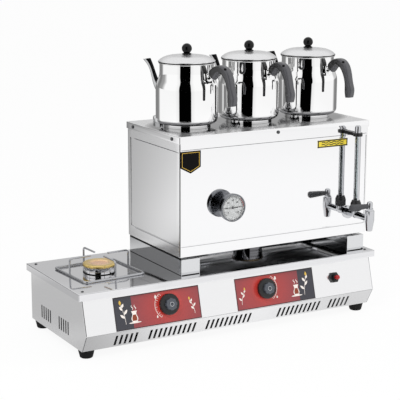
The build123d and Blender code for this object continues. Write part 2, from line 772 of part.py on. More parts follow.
def tap():
    """Plug tap: the lever turns a drilled plug in the barrel."""
    top = pipe_z + barrel_top
    foot = pipe_z - barrel_foot
    barrel = revolved([(0, foot), (outlet_radius - 0.8, foot), (outlet_radius, foot + 0.8),
                       (barrel_radius - 1.5, pipe_z - barrel_waist - 9), (barrel_radius, pipe_z - barrel_waist),
                       (barrel_radius, top - 1), (barrel_radius - 1, top), (0, top)])
    body = Pos(tap_x, barrel_y, 0) * barrel
    rear = field_y + pipe_tail
    body += rod(pipe_radius, (tap_x, gauge_y - 10, pipe_z), (tap_x, rear, pipe_z))
    taper = Cone(pipe_radius, pipe_radius - 1.8, gauge_y - 10 - barrel_y, align=(Align.CENTER, Align.CENTER, Align.MIN))
    body += Plane(origin=(tap_x, gauge_y - 10, pipe_z), z_dir=(0, -1, 0)) * taper
    body += rod(gauge_boss_radius, (tap_x, gauge_y, pipe_z), (tap_x, gauge_y, pipe_z + gauge_boss_top))
    body += Pos(tap_x, gauge_y, pipe_z) * Sphere(gauge_boss_radius)
    body -= rod(pipe_bore, (tap_x, barrel_y, pipe_z), (tap_x, rear + 1, pipe_z))
    body -= rod(pipe_bore - 1.5, (tap_x, gauge_y, pipe_z), (tap_x, gauge_y, pipe_z + gauge_boss_top + 1))
    body -= rod(plug_radius, (tap_x, barrel_y, pipe_z - plug_foot), (tap_x, barrel_y, top + 1))
    body -= rod(outlet_bore, (tap_x, barrel_y, foot - 1), (tap_x, barrel_y, pipe_z))
    add("tap_body", body)

    gap = pipe_hole_gap
    add("tap_rosette", tube(rosette_radius, pipe_radius + gap, (tap_x, field_y - rosette_thickness, pipe_z),
                            (tap_x, field_y, pipe_z)))

    low = -plug_foot + 0.3
    plug = revolved([(0, low), (plug_radius - plug_run, low), (plug_radius - plug_run, plug_top),
                     (stem_neck_radius, plug_top), (stem_neck_radius, hub_foot), (hub_radius, hub_foot),
                     (hub_radius, hub_top - 4), (hub_radius - 1.5, hub_top - 1.2), (hub_radius - 4, hub_top),
                     (0, hub_top)])
    plug -= post(port_radius, port_radius - low, low)
    plug -= Rot(0, 90, 0) * post(port_radius, 2 * plug_radius)
    spigot_seat = hub_radius - lever_spigot
    plug -= rod(lever_spigot_radius + 0.1, (-hub_radius - 1, 0, lever_rise), (-spigot_seat + 0.2, 0, lever_rise))
    place = Pos(tap_x, barrel_y, pipe_z)
    add("tap_plug", place * plug)
    bonnet = Pos(0, 0, barrel_top) * hexagon(bonnet_flats, bonnet_height)
    bonnet -= Cylinder(stem_neck_radius + bonnet_gap, 4 * barrel_top)
    add("tap_bonnet", place * bonnet)

    reach = lever_length - hub_radius
    grip = revolve(Plane.XZ * make_face(Polyline(
        (0, 0), (lever_thin - 1, 0), (lever_thin, 1), (lever_thick - 0.6, reach * 0.72), (lever_thick, reach * 0.9),
        (lever_thick - 1.2, reach - 2), (lever_thick - 4, reach), (0, reach), close=True)), Axis.Z)
    grip += post(lever_spigot_radius, lever_spigot, -lever_spigot)
    add("tap_lever", place * Pos(-hub_radius - 0.1, 0, lever_rise) * Rot(0, -90, 0) * grip)


def gauge():
    """Glass level gauge that stands on the tap's pipe, with its nut, guard, bracket and cap."""
    foot = pipe_z + gauge_boss_top
    nut = hexagon(nut_flats, nut_height)
    nut &= revolved([(0, 0), (nut_flats / 2 - 1, 0), (nut_flats * 0.58, 2.5), (nut_flats * 0.58, nut_height * 0.55),
                     (gauge_boss_radius, nut_height), (0, nut_height)])
    nut -= Cylinder(gauge_glass_radius + nut_bore_gap, 3 * nut_height)
    place = Pos(tap_x, gauge_y, 0)
    add("gauge_nut", place * Pos(0, 0, foot) * nut)

    cap_foot = bracket_z + bracket_height
    glass_top = cap_foot + gauge_cap_depth
    add("gauge_glass", tube(gauge_glass_radius, gauge_glass_radius - gauge_glass_wall,
                            (tap_x, gauge_y, foot), (tap_x, gauge_y, glass_top)))

    low, high = foot + nut_height, bracket_z
    guard = tube(guard_radius, guard_radius - guard_wall, (0, 0, low), (0, 0, high))
    reach = 3 * guard_radius
    half = radians(guard_open / 2)
    wedge = Polyline((0, 0), (reach * cos(half), -reach * sin(half)), (reach, 0),
                     (reach * cos(half), reach * sin(half)), close=True)
    guard -= Rot(0, 0, guard_facing) * Pos(0, 0, low - 1) * extrude(make_face(wedge), high - low + 2)
    add("gauge_guard", place * guard)

    bracket = post(bracket_radius, bracket_height, bracket_z)
    arm = block(-bracket_arm / 2, bracket_arm / 2, 0, boiler_front_y - gauge_y, bracket_z, bracket_z + bracket_height)
    bracket += arm
    bracket -= Pos(0, 0, bracket_z) * Cylinder(gauge_glass_radius + nut_bore_gap, 4 * bracket_height)
    add("gauge_bracket", place * bracket)
    top = cap_foot + gauge_cap_height
    bore = gauge_glass_radius + nut_bore_gap
    cap = revolved([(bore, cap_foot), (gauge_cap_radius, cap_foot), (gauge_cap_radius, top - 5),
                    (gauge_cap_radius - 1, top - 1.5), (gauge_cap_radius - 3.5, top), (0, top),
                    (0, glass_top + 1), (bore, glass_top + 1)])
    add("gauge_cap", place * cap)


def pot_profile(inset):
    """Half outline of the pot's wall, from the bottom's rim to the mouth, moved in by the inset."""
    foot, heel = pot_foot_height + inset, pot_heel
    r, n = pot_radius - inset, pot_neck_radius - inset
    low = Line((pot_foot_radius - 2, foot), (r - heel, foot))
    corner = TangentArc(low @ 1, (r, foot + heel), tangent=(1, 0))
    wall = Line(corner @ 1, (r, pot_shoulder_foot))
    middle = ((r + n) / 2, (pot_shoulder_foot + pot_shoulder_top) / 2)
    shoulder = Bezier((r, pot_shoulder_foot), (r, middle[1]), (n, middle[1]), (n, pot_shoulder_top))
    neck = Line((n, pot_shoulder_top), (n, pot_height))
    return [low, corner, wall, shoulder, neck]


def pot_solid(inset, top):
    edges = pot_profile(inset)
    foot = pot_foot_height + inset
    edges += [Line((0, foot), edges[0] @ 0), Line(edges[-1] @ 1, (0, top)), Line((0, top), (0, foot))]
    return revolve(Plane.XZ * make_face(edges), Axis.Z)


def spout_solid(shrink):
    """Tapered swan-neck spout along its path, heading -X, thinned all round by the shrink."""
    sections = []
    for (r, z), radius, slope in zip(spout_path, spout_radii, spout_slopes):
        heading = Vector(-cos(radians(slope)), 0, sin(radians(slope)))
        sections.append(Plane(origin=(-r, 0, z), x_dir=(0, 1, 0), z_dir=heading) * Circle(radius - shrink))
    return loft(sections)


def teapot_body():
    body = pot_solid(0, pot_height)
    body += revolved([(pot_foot_radius - 2 * pot_wall, 0), (pot_foot_radius, 0),
                      (pot_foot_radius, pot_foot_height + 0.6), (pot_foot_radius - 2 * pot_wall, pot_foot_height + 0.6)])
    bead = Pos(pot_neck_radius + pot_bead_offset, 0) * Circle(pot_bead)
    body += Pos(0, 0, pot_height) * revolve(Plane.XZ * bead, Axis.Z)
    body -= pot_solid(pot_wall, pot_height + 10)
    return body - spout_solid(spout_wall)


def spout():
    """The spout alone, welded over a hole in the pot's wall."""
    return spout_solid(0) - spout_solid(spout_wall) - pot_solid(-spout_seat_gap, pot_height)


def ferrule():
    (r0, z0), (r1, z1) = handle_path[:2]
    slope = Vector(r1 - r0, 0, z1 - z0).normalized()
    seat = Vector(r0, 0, z0)
    inner = Vector(pot_neck_radius + 2, 0, z0 - 7)
    piece = loft([Plane(origin=inner, z_dir=(1, 0, 0.3)) * Circle(ferrule_radius - 1.5),
                  Plane(origin=seat, z_dir=slope) * Circle(ferrule_radius)])
    plate = Pos(pot_neck_radius + 2, 0, z0 - 7) * Box(8, ferrule_plate * 0.7, ferrule_plate)
    piece += plate
    return piece - pot_solid(-0.05, pot_height) - Pos(0, 0, pot_height) * Cylinder(pot_neck_radius + 3, 8)


def handle():
    sections = []
    count = len(handle_path)
    for i, (r, z) in enumerate(handle_path):
        before, after = handle_path[max(i - 1, 0)], handle_path[min(i + 1, count - 1)]
        heading = Vector(after[0] - before[0], 0, after[1] - before[1])
        outline = RectangleRounded(handle_depths[i], handle_widths[i], handle_round)
        sections.append(Plane(origin=(r, 0, z), x_dir=(0, 1, 0), z_dir=heading) * Rot(0, 0, 90) * outline)
    return loft(sections)


def dome(inset):
    """Solid dome of the lid with a flat crown and a rounded shoulder, moved in by the inset all round."""
    rim = lid_radius - inset
    crown = TangentArc((0, lid_rise - inset), (lid_crown_radius, lid_rise - lid_crown_drop - inset), tangent=(1, 0))
    shoulder = TangentArc(crown @ 1, (rim, lid_rim), tangent=crown % 1)
    sides = Polyline(shoulder @ 1, (rim, inset), (0, inset), (0, lid_rise - inset))
    return revolve(Plane.XZ * make_face([crown, shoulder, sides]), Axis.Z)


def lid():
    """Domed sheet with a flat rim underneath and a skirt that goes down into the pot's neck."""
    seat = pot_height + pot_bead + lid_rest_gap
    outer = pot_neck_radius + pot_bead_offset - pot_bead - lid_skirt_gap
    cover = dome(0) + post(outer, lid_skirt + lid_sheet, -lid_skirt)
    cover -= dome(lid_sheet)
    cover -= post(outer - lid_sheet, lid_skirt + lid_rim + lid_sheet, -lid_skirt)
    return Pos(0, 0, seat) * cover


def lid_knob():
    base = pot_height + pot_bead + lid_rest_gap + lid_rise
    flare, waist = knob_flare_radius, knob_waist_radius
    stem = revolved([(0, base), (flare, base), (flare, base + knob_foot_height), (waist, base + knob_waist_height),
                     (waist, base + knob_ball_height), (0, base + knob_ball_height)])
    return stem + Pos(0, 0, base + knob_ball_height) * Sphere(knob_ball_radius)


def teapots():
    body, grip, cover, top = teapot_body(), handle(), lid(), lid_knob()
    bracket, nozzle = ferrule(), spout()
    for number, (x, turn) in enumerate(zip(pot_places(), pot_turns), 1):
        place = Pos(x, boiler_y, boiler_top + pot_rest_gap) * Rot(0, 0, turn)
        name = "teapot_" + str(number)
        add(name + "_body", place * body, place * bracket)
        add(name + "_spout", place * nozzle)
        add(name + "_handle", place * grip)
        add(name + "_lid", place * cover)
        add(name + "_lid_knob", place * top)


for build in (cabinet, gas_train, controls, burners, pan_support, stand, boiler, thermometer, tap, gauge, teapots):
    build()

# The origin is under the middle of the whole object, on the surface it stands on.
whole = Compound(list(nodes.values())).bounding_box()
shift = Pos(-whole.center().X, -whole.center().Y, -whole.min.Z)
print("moved by", tuple(shift.position))

os.makedirs("parts", exist_ok=True)
for name, shape in nodes.items():
    export_step(shift * shape, os.path.join("parts", name + ".step"))
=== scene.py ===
import bmesh
import bpy
import json
import numpy as np
from math import cos, pi, radians, sin
from mathutils import Matrix, Vector


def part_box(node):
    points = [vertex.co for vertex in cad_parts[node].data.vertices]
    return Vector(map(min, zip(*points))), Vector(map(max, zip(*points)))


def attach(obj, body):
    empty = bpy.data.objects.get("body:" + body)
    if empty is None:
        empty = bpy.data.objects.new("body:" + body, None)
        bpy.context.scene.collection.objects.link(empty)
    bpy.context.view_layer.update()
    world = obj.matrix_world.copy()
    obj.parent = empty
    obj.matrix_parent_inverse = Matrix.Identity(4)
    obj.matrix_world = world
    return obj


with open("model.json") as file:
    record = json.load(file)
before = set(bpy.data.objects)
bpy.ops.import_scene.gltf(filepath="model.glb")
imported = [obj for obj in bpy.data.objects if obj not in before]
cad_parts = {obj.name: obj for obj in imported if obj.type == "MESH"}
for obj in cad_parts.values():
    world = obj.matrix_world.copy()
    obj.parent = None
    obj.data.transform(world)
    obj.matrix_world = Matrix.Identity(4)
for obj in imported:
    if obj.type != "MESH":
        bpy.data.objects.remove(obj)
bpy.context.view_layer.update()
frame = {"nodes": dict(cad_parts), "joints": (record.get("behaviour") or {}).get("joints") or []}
nodes = frame["nodes"]
joints = {joint["name"]: joint for joint in frame["joints"]}
mm = 0.001
pots = (1, 2, 3)
print("frame loaded:", len(nodes), "nodes")


# colours and shader nodes

def linear(code):
    # "#rrggbb" in sRGB to linear light
    value = np.array([int(code[i:i + 2], 16) for i in (1, 3, 5)]) / 255
    return (*np.where(value <= 0.04045, value / 12.92, ((value + 0.055) / 1.055) ** 2.4), 1.0)


def addNode(tree, kind, settings=None, output=0):
    # adds a shader node and gives one of its outputs; each setting is linked or set at the socket of that name or
    # number, else it is a property, and stops are a colour ramp's places, each with a hex value or a grey level
    node = tree.nodes.new("ShaderNode" + kind)
    for name, value in (settings or {}).items():
        if name == "stops":
            elements = node.color_ramp.elements
            while len(elements) < len(value):
                elements.new(0.5)
            for element, (place, colour) in zip(elements, value):
                element.position = place
                element.color = linear(colour) if isinstance(colour, str) else (colour, colour, colour, 1)
        elif isinstance(value, bpy.types.NodeSocket):
            tree.links.new(value, node.inputs[name])
        elif isinstance(name, int) or name in node.inputs:
            node.inputs[name].default_value = value
        else:
            setattr(node, name, value)
    return node.outputs[output]


def spread(tree, source, low, high, start=0.0, end=1.0):
    # a value from start..end moved to low..high
    return addNode(tree, "MapRange", {"Value": source, "From Min": start, "From Max": end, "To Min": low,
                                      "To Max": high})


def patternSpace(tree, centre=(0, 0, 0), unit=(1, 1, 1)):
    # object coordinates about a centre, in steps of a real size in millimetres
    return addNode(tree, "Mapping", {"vector_type": "TEXTURE", "Location": centre,
                                     "Vector": addNode(tree, "TexCoord", output="Object"),
                                     "Scale": [size * mm for size in unit]})


def newMaterial(name, colour, roughness, metallic=0.0, **more):
    material = bpy.data.materials.new(name)
    material.use_nodes = True
    tree, shader = opened(material)
    shader.inputs["Base Color"].default_value = linear(colour)
    shader.inputs["Roughness"].default_value = roughness
    shader.inputs["Metallic"].default_value = metallic
    for socket, value in more.items():
        shader.inputs[socket.replace("_", " ")].default_value = value
    return material, tree, shader


def opened(material):
    return material.node_tree, material.node_tree.nodes["Principled BSDF"]


def roughen(tree, shader, source, low, high, start=0.3, end=0.7):
    # the roughness follows a pattern
    tree.links.new(spread(tree, source, low, high, start, end), shader.inputs["Roughness"])


def relief(tree, shader, height, depth):
    # bump of a real depth in millimetres
    bump = addNode(tree, "Bump", {"Distance": depth * mm, "Strength": 1.0, "Height": height})
    tree.links.new(bump, shader.inputs["Normal"])


def tint(tree, shader, source, *stops):
    # the colour follows a value: two hex values, or places with one
    stops = [(0.0, stops[0]), (1.0, stops[1])] if isinstance(stops[0], str) else stops
    tree.links.new(addNode(tree, "ValToRGB", {0: source, "stops": stops}), shader.inputs["Base Color"])


# meshes

def addObject(name, data):
    thing = bpy.data.objects.new(name, data)
    bpy.context.scene.collection.objects.link(thing)
    return thing


def addPiece(name, mesh, material, body, slotName):
    # each mesh below hands on the last three of these as its look
    mesh.materials.append(material)
    piece = addObject(name, mesh)
    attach(piece, body)


def gridMesh(name, points, *look, smooth=False):
    # a surface from a rows x columns x 3 array of points, whose last column joins the first
    rows, columns = points.shape[:2]
    i, j = np.meshgrid(np.arange(rows - 1), np.arange(columns), indexing="ij")
    here, beside = i * columns + j, i * columns + (j + 1) % columns
    quads = np.stack([here, beside, beside + columns, here + columns], -1)
    mesh = bpy.data.meshes.new(name)
    mesh.from_pydata(points.reshape(-1, 3).tolist(), [], quads.reshape(-1, 4).tolist())
    shape = bmesh.new()
    shape.from_mesh(mesh)
    bmesh.ops.remove_doubles(shape, verts=shape.verts, dist=1e-6)
    bmesh.ops.recalc_face_normals(shape, faces=shape.faces)
    shape.to_mesh(mesh)
    shape.free()
    mesh.polygons.foreach_set("use_smooth", np.full(len(mesh.polygons), smooth))
    addPiece(name, mesh, *look)


def surfaceFrame(origin, across, normal):
    # a function that puts (x, y, height) arrays on a face: x along across, y square to it, height outwards
    across, normal = Vector(across).normalized(), Vector(normal).normalized()
    axes = np.array([across, normal.cross(across), normal])
    start = np.array(origin)
    return lambda x, y, h: start + np.stack(np.broadcast_arrays(x, y, h), -1) @ axes


def frontFace(origin):
    return surfaceFrame(origin, (1, 0, 0), (0, -1, 0))


def endFace(origin):
    return surfaceFrame(origin, (0, -1, 0), (-1, 0, 0))


def topFace(origin):
    return surfaceFrame(origin, (1, 0, 0), (0, 0, 1))


def controlFace(side):
    # the slope that a knob stands on, about the knob's centre
    joint = joints["gas_valve_%s_turn" % side]
    return surfaceFrame(joint["pos_m"], (1, 0, 0), joint["axis"])


def plateMesh(name, face, outline, thickness, edge, *look):
    # a flat plate: its outline shrinks to its middle at the foot, runs up its side, round its edge and in again
    outline = np.array(outline) * mm
    middle = (outline.max(0) + outline.min(0)) / 2
    inner = middle + (outline - middle) * (1 - edge * mm / np.abs(outline - middle).max(0))
    loops = [(middle + (outline - middle) * 0.02, 0), (outline, 0), (outline, thickness - edge),
             (middle + (outline - middle) * 0.5 + (inner - middle) * 0.5, thickness - 0.3 * edge),
             (inner, thickness), (middle + (inner - middle) * 0.02, thickness)]
    points = np.stack([face(loop[:, 0], loop[:, 1], np.full(len(loop), h * mm)) for loop, h in loops])
    gridMesh(name, points, *look)


def ribbonMesh(name, face, path, width, height, material, slotName="bracket_black", base=0.0):
    # a flat strip on the boiler unit along a path: each row is the path moved half the width to either side
    path = np.array(path, float) * mm
    run = np.gradient(path, axis=0)
    side = np.stack([-run[:, 1], run[:, 0]], -1) / np.maximum(np.linalg.norm(run, axis=1), 1e-9)[:, None]
    half = np.broadcast_to(np.asarray(width, float) * mm / 2, len(path))[:, None]
    left, right = path + side * half, path - side * half
    low, high = base * mm, (base + height) * mm
    rows = [(left, low), (left, high), (right, high), (right, low)]
    points = np.stack([face(edge[:, 0], edge[:, 1], np.full(len(edge), h)) for edge, h in rows], 1)
    gridMesh(name, points, material, "boiler_unit", slotName)


def revolvedMesh(name, face, profile, *look, sides=40):
    # a profile of (radius, height) turned about the face's normal through its origin
    profile = np.array(profile, float) * mm
    turn = np.linspace(0, 2 * pi, sides, endpoint=False)
    radius, height = profile[:, :1], profile[:, 1:]
    points = face(radius * np.cos(turn), radius * np.sin(turn), height + 0 * turn)
    gridMesh(name, points, *look, smooth=True)


def arc(radius, start, end, count):
    turn = np.radians(np.linspace(start, end, count))
    return np.stack([radius * np.cos(turn), radius * np.sin(turn)], -1)


def spoke(turn, inner, outer):
    # a short line along a heading in radians, from one radius to another
    heading = np.array([cos(turn), sin(turn)])
    return np.linspace(inner * heading, outer * heading, 3)


def borderSides(left, right, foot, top, edge, inset=0.0):
    # the middle lines of a border's strips: foot, top, left and right
    return [((left + inset, foot + edge), (right - inset, foot + edge)),
            ((left + inset, top - edge), (right - inset, top - edge)),
            ((left + edge, foot + inset), (left + edge, top - inset)),
            ((right - edge, foot + inset), (right - edge, top - inset))]


# camera

camera = {"azimuth": -29.579, "elevation": 12.384, "roll": 0.146, "lens": 115.72, "sensor": 36, "clip": 60,
          "place": (-1.5148, -2.6261, 0.9697)}


def makeCamera():
    turn, lift, roll = (radians(camera[key]) for key in ("azimuth", "elevation", "roll"))
    back = Vector((sin(turn) * cos(lift), -cos(turn) * cos(lift), sin(lift)))
    right = Vector((0, 0, 1)).cross(back).normalized()
    up = back.cross(right)
    view = addObject("camera", bpy.data.cameras.new("camera"))
    view.data.sensor_width = camera["sensor"]
    view.data.lens = camera["lens"]
    view.data.clip_end = camera["clip"]
    axes = Matrix((right * cos(roll) + up * sin(roll), up * cos(roll) - right * sin(roll), back)).transposed()
    view.matrix_world = Matrix.Translation(camera["place"]) @ axes.to_4x4()
    bpy.context.scene.camera = view


makeCamera()
print("camera set")


# studio

studio = {
    "worldLevel": 0.82,  # light from all round
    "floorHalf": 30,
    "floorColour": "#f4f4f4",
    "floorWhite": 0.92,  # how far the floor stays white under the object
    "floorGlow": 0.75,  # share of its own light in the floor that metal sees
    "cardAzimuth": -35.6,  # heading of the black card that polished metal sees
    "cardHalf": 21.5,  # degrees to either side
    "cardDark": 0.0005,
    "cardGlow": (0.87, 0.13),  # grey beside the card, and how far it reaches as a step of the cosine
    "cardSoft": 0.006,  # how soft its edge is, as a step of the cosine
    "cardStart": (0.85, 0.97),  # metres from the object's middle over which the card's foot starts
    "cardNear": 0.2,  # its foot is grey as far as cardBlack, and black beyond
    "cardBlack": (1.6, 1.9),
    "backLevel": 0.5,  # level that metal sees on the floor behind the object, and straight behind it
    "backDim": 0.24,
    "wallLevel": 0.76,  # the same above the floor
    "wallDim": 0.6,
    "frontLevel": 1.0,
    "turns": (0.2, 0.24, 0.262, 0.29),  # where the level changes, from straight behind at 0 to the camera at 1
    "step": 0.14,
    "shadeAzimuth": -150.4,  # heading of a grey screen behind on the left, above the floor
    "shadeHalf": 22.0,
    "shadeLevel": 0.34,
    "shadeSoft": (-0.08, 0.04),
    "whiteAbove": (0.3, 0.6),  # heights, as the sine of the lift, over which the room, card and screen turn white
    "cardAbove": (0.62, 0.66),
    "shadeAbove": (0.26, 0.5),
    "greyCore": 0.25,  # how much of a grey place is darkest
    # grey places on the floor: middle, reach and level
    "greys": [((-0.62, 0.32, 0), 0.75, 0.55), ((0.44, -0.2, 0), 0.34, 0.78), ((-0.42, -0.2, 0), 0.26, 0.62)],
    # name, place, size and power
    "lamps": [("key softbox", (-1.6, -1.5, 2.2), (1.0, 1.0), 26), ("fill softbox", (2.0, -1.2, 1.6), (0.8, 1.2), 12)],
    "aim": (0, 0, 0.3),
}
white = (1, 1, 1, 1)


def studioLevel(tree, heading, back, dim):
    # what polished metal sees at a heading: a black card by the camera, white at the sides, grey behind
    angles = [radians(angle) for angle in (camera["azimuth"], studio["cardAzimuth"], studio["shadeAzimuth"])]
    flat = addNode(tree, "VectorMath", {"operation": "MULTIPLY", 0: heading, 1: (1, 1, 0)})
    unit = addNode(tree, "VectorMath", {"operation": "NORMALIZE", 0: flat})
    ways = [(sin(angle), -cos(angle), 0) for angle in angles]
    along, toCard, toShade = (addNode(tree, "VectorMath", {"operation": "DOT_PRODUCT", 0: unit, 1: way}, "Value")
                              for way in ways)
    levels = zip((0.0, *studio["turns"]), (dim, dim, back, back + studio["step"], studio["frontLevel"]))
    level = addNode(tree, "ValToRGB", {0: spread(tree, along, 0, 1, -1, 1), "stops": list(levels)})
    edge, dusk = cos(radians(studio["cardHalf"])), cos(radians(studio["shadeHalf"]))
    # the card's black falls off softly into the white beside it
    glow, reach = studio["cardGlow"]
    dark = spread(tree, toCard, 1.0, studio["cardDark"], edge - studio["cardSoft"], edge)
    soft = spread(tree, toCard, 1.0, glow, edge - reach, edge)
    black = addNode(tree, "Math", {"operation": "MULTIPLY", 0: dark, 1: soft})
    shade = spread(tree, toShade, 1.0, studio["shadeLevel"], *(dusk + step for step in studio["shadeSoft"]))
    return level, black, shade


def byRay(tree, surface, looks):
    # the kinds of ray that see something else in place of the surface
    for kind, look in looks:
        ray = addNode(tree, "LightPath", output="Is %s Ray" % kind)
        surface = addNode(tree, "MixShader", {0: ray, 1: surface, 2: look})
    return surface


def makeWorld():
    world = bpy.data.worlds.new("studio")
    world.use_nodes = True
    tree = world.node_tree
    ground = tree.nodes["Background"]
    ground.inputs["Color"].default_value = white
    ground.inputs["Strength"].default_value = studio["worldLevel"]
    heading = addNode(tree, "TexCoord", output="Generated")
    # the upper part of the room is white all round
    rise = addNode(tree, "SeparateXYZ", {0: heading}, 2)
    level, card, shade = studioLevel(tree, heading, studio["wallLevel"], studio["wallDim"])
    level = addNode(tree, "Mix", {"data_type": "RGBA", 0: spread(tree, rise, 0, 1, *studio["whiteAbove"]), 6: level,
                                  7: white}, 2)
    for screen, key in ((card, "cardAbove"), (shade, "shadeAbove")):
        high = addNode(tree, "Math", {"operation": "MAXIMUM", 0: screen, 1: spread(tree, rise, 0, 1, *studio[key])})
        level = addNode(tree, "Mix", {"data_type": "RGBA", "blend_type": "MULTIPLY", 0: 1.0, 6: level, 7: high}, 2)
    seen, plain = (addNode(tree, "Background", {"Strength": 1.0, "Color": colour}) for colour in (level, white))
    room = byRay(tree, ground.outputs[0], [("Glossy", seen), ("Camera", plain), ("Transmission", plain)])
    tree.links.new(room, tree.nodes["World Output"].inputs[0])
    bpy.context.scene.world = world


def makeFloor():
    # the floor is white to the camera and in glass, and keeps a light shadow of the object
    mesh = bpy.data.meshes.new("floor")
    ends = (-studio["floorHalf"], studio["floorHalf"])
    mesh.from_pydata([(x, y, 0) for x in ends for y in ends], [], [[0, 2, 3, 1]])
    floor = addObject("floor", mesh)
    material, tree, shader = newMaterial("matt studio vinyl", studio["floorColour"], 0.9, Specular_IOR_Level=0.0)
    mesh.materials.append(material)
    place = addNode(tree, "TexCoord", output="Object")
    # metal sees the card's foot some way off, and grey places on the floor by the cabinet
    distance = addNode(tree, "VectorMath", {"operation": "LENGTH", 0: place}, "Value")
    level, card, shade = studioLevel(tree, place, studio["backLevel"], studio["backDim"])
    card = addNode(tree, "Math", {"operation": "MAXIMUM", 0: card,
                                  1: spread(tree, distance, studio["cardNear"], 0, *studio["cardBlack"])})
    level = addNode(tree, "Mix", {"data_type": "RGBA", "blend_type": "MULTIPLY", 0: 1.0, 6: level, 7: card}, 2)
    level = addNode(tree, "Mix", {"data_type": "RGBA", 0: spread(tree, distance, 0, 1, *studio["cardStart"]),
                                  6: white, 7: level}, 2)
    for middle, reach, grey in studio["greys"]:
        aside = addNode(tree, "VectorMath", {"operation": "DISTANCE", 0: place, 1: middle}, "Value")
        level = addNode(tree, "Mix", {"data_type": "RGBA", "blend_type": "MULTIPLY", 0: 1.0, 6: level,
                                      7: spread(tree, aside, grey, 1, studio["greyCore"] * reach, reach)}, 2)
    glow = addNode(tree, "Emission", {"Strength": 1.0})
    seen = addNode(tree, "Emission", {"Strength": 1.0, "Color": level})
    matt = addNode(tree, "BsdfDiffuse", {"Color": level})
    lit = addNode(tree, "MixShader", {0: studio["floorWhite"], 1: shader.outputs[0], 2: glow})
    dim = addNode(tree, "MixShader", {0: studio["floorGlow"], 1: matt, 2: seen})
    ground = byRay(tree, shader.outputs[0], [("Camera", lit), ("Glossy", dim), ("Transmission", lit)])
    tree.links.new(ground, tree.nodes["Material Output"].inputs[0])


def softBox(name, place, size, power):
    lamp = bpy.data.lights.new(name, "AREA")
    lamp.shape = "RECTANGLE"
    lamp.size, lamp.size_y = size
    lamp.energy = power
    box = addObject(name, lamp)
    box.location = place
    box.rotation_euler = (Vector(studio["aim"]) - Vector(place)).to_track_quat("-Z", "Y").to_euler()
    box.visible_glossy = False


makeWorld()
makeFloor()
for lamp in studio["lamps"]:
    softBox(*lamp)
bpy.context.scene.view_settings.view_transform = "Standard"
print("studio lit")


# finishes

def stainlessSheet(name, colour, roughness, depth=0.012, wave=0.0, ends=0.0):
    # stainless steel sheet, belt ground: fine parallel scratches that stretch reflections along them
    material, tree, shader = newMaterial(name, colour, roughness, 1.0)
    scratch = addNode(tree, "TexNoise", {"Scale": 1.0, "Detail": 3.0, "Roughness": 0.6,
                                         "Vector": patternSpace(tree, unit=(110, 1.8, 1.8))})
    rough = spread(tree, scratch, roughness * 0.75, roughness * 1.3, 0.3, 0.7)
    if ends:
        # the faces at the two ends are rougher
        sideways = addNode(tree, "SeparateXYZ", {0: addNode(tree, "TexCoord", output="Normal")}, 0)
        aside = addNode(tree, "Math", {"operation": "ABSOLUTE", 0: sideways})
        rough = addNode(tree, "Math", {"operation": "ADD", 0: rough, 1: spread(tree, aside, 0, ends, 0.6, 0.9)})
    tree.links.new(rough, shader.inputs["Roughness"])
    height = scratch
    if wave:
        # thin sheet is never quite flat: a slow wave bends its reflections
        space = patternSpace(tree, unit=(160, 160, 160))
        swell = addNode(tree, "TexNoise", {"Scale": 1.0, "Detail": 1.0, "Vector": space})
        height = addNode(tree, "Math", {"operation": "MULTIPLY_ADD", 0: swell, 1: wave / depth, 2: scratch})
    relief(tree, shader, height, depth)
    return material


def polishedSteel(name, colour, roughness):
    # mirror polished stainless: a hard clear reflection with faint hand marks
    material, tree, shader = newMaterial(name, colour, roughness, 1.0)
    roughen(tree, shader, addNode(tree, "TexNoise", {"Scale": 1.0, "Detail": 4.0, "Roughness": 0.65,
                                                     "Vector": patternSpace(tree, unit=(30, 30, 30))}),
            roughness * 0.6, roughness * 1.5, 0.4, 0.75)
    return material


def spunSteel(name, colour, roughness, centre):
    # spun and satin finished: rings round the centre that spread highlights into rays
    material, tree, shader = newMaterial(name, colour, roughness, 1.0)
    radius = addNode(tree, "VectorMath", {"operation": "LENGTH", 0: patternSpace(tree, centre, (1, 1, 1000))},
                     "Value")
    rings = addNode(tree, "TexNoise", {"noise_dimensions": "1D", "Scale": 0.9, "Detail": 3.0, "W": radius})
    roughen(tree, shader, rings, roughness * 0.8, roughness * 1.25)
    relief(tree, shader, rings, 0.02)
    return material


def heatTinted(material, centres, reach, dark, light, dull):
    # painted shade: the top face is painted darker in a ring round each centre, for the shade and dark reflection of
    # the pots, and it is duller further away
    tree, shader = opened(material)
    spaces = [patternSpace(tree, centre, (1000, 1000, 1e6)) for centre in centres]
    near = [addNode(tree, "VectorMath", {"operation": "LENGTH", 0: space}, "Value") for space in spaces]
    nearest = near[0]
    for other in near[1:]:
        nearest = addNode(tree, "Math", {"operation": "MINIMUM", 0: nearest, 1: other})
    up = addNode(tree, "SeparateXYZ", {0: addNode(tree, "TexCoord", output="Normal")}, 2)
    level = spread(tree, up, 0, 1, 0.4, 0.6)
    ring = addNode(tree, "Math", {"operation": "MULTIPLY", 0: spread(tree, nearest, 1, 0, *reach), 1: level})
    tint(tree, shader, ring, light, dark)
    away = addNode(tree, "Math", {"operation": "MULTIPLY", 0: spread(tree, nearest, 0, dull, *reach), 1: level})
    base = shader.inputs["Roughness"].links[0].from_socket
    tree.links.new(addNode(tree, "Math", {"operation": "ADD", 0: base, 1: away}), shader.inputs["Roughness"])


def facing(tree, centre, piece):
    # how far a face looks away from the pot's axis, -1 to 1
    outward = Vector((piece[0] - centre[0], piece[1] - centre[1], 0)).normalized()
    return addNode(tree, "VectorMath", {"operation": "DOT_PRODUCT", 0: addNode(tree, "TexCoord", output="Normal"),
                                        1: outward}, "Value")


def buffedSpout(name, centre, spout):
    # painted shade: the side towards the pot is painted dark, for the pot's shade and dark reflection on it; the rest
    # is polished
    material = polishedSteel(name, "#c2c3c4", 0.06)
    tree, shader = opened(material)
    tint(tree, shader, spread(tree, facing(tree, centre, spout), 0, 1, -0.42, -0.3), "#1b1b1c", "#c2c3c4")
    return material


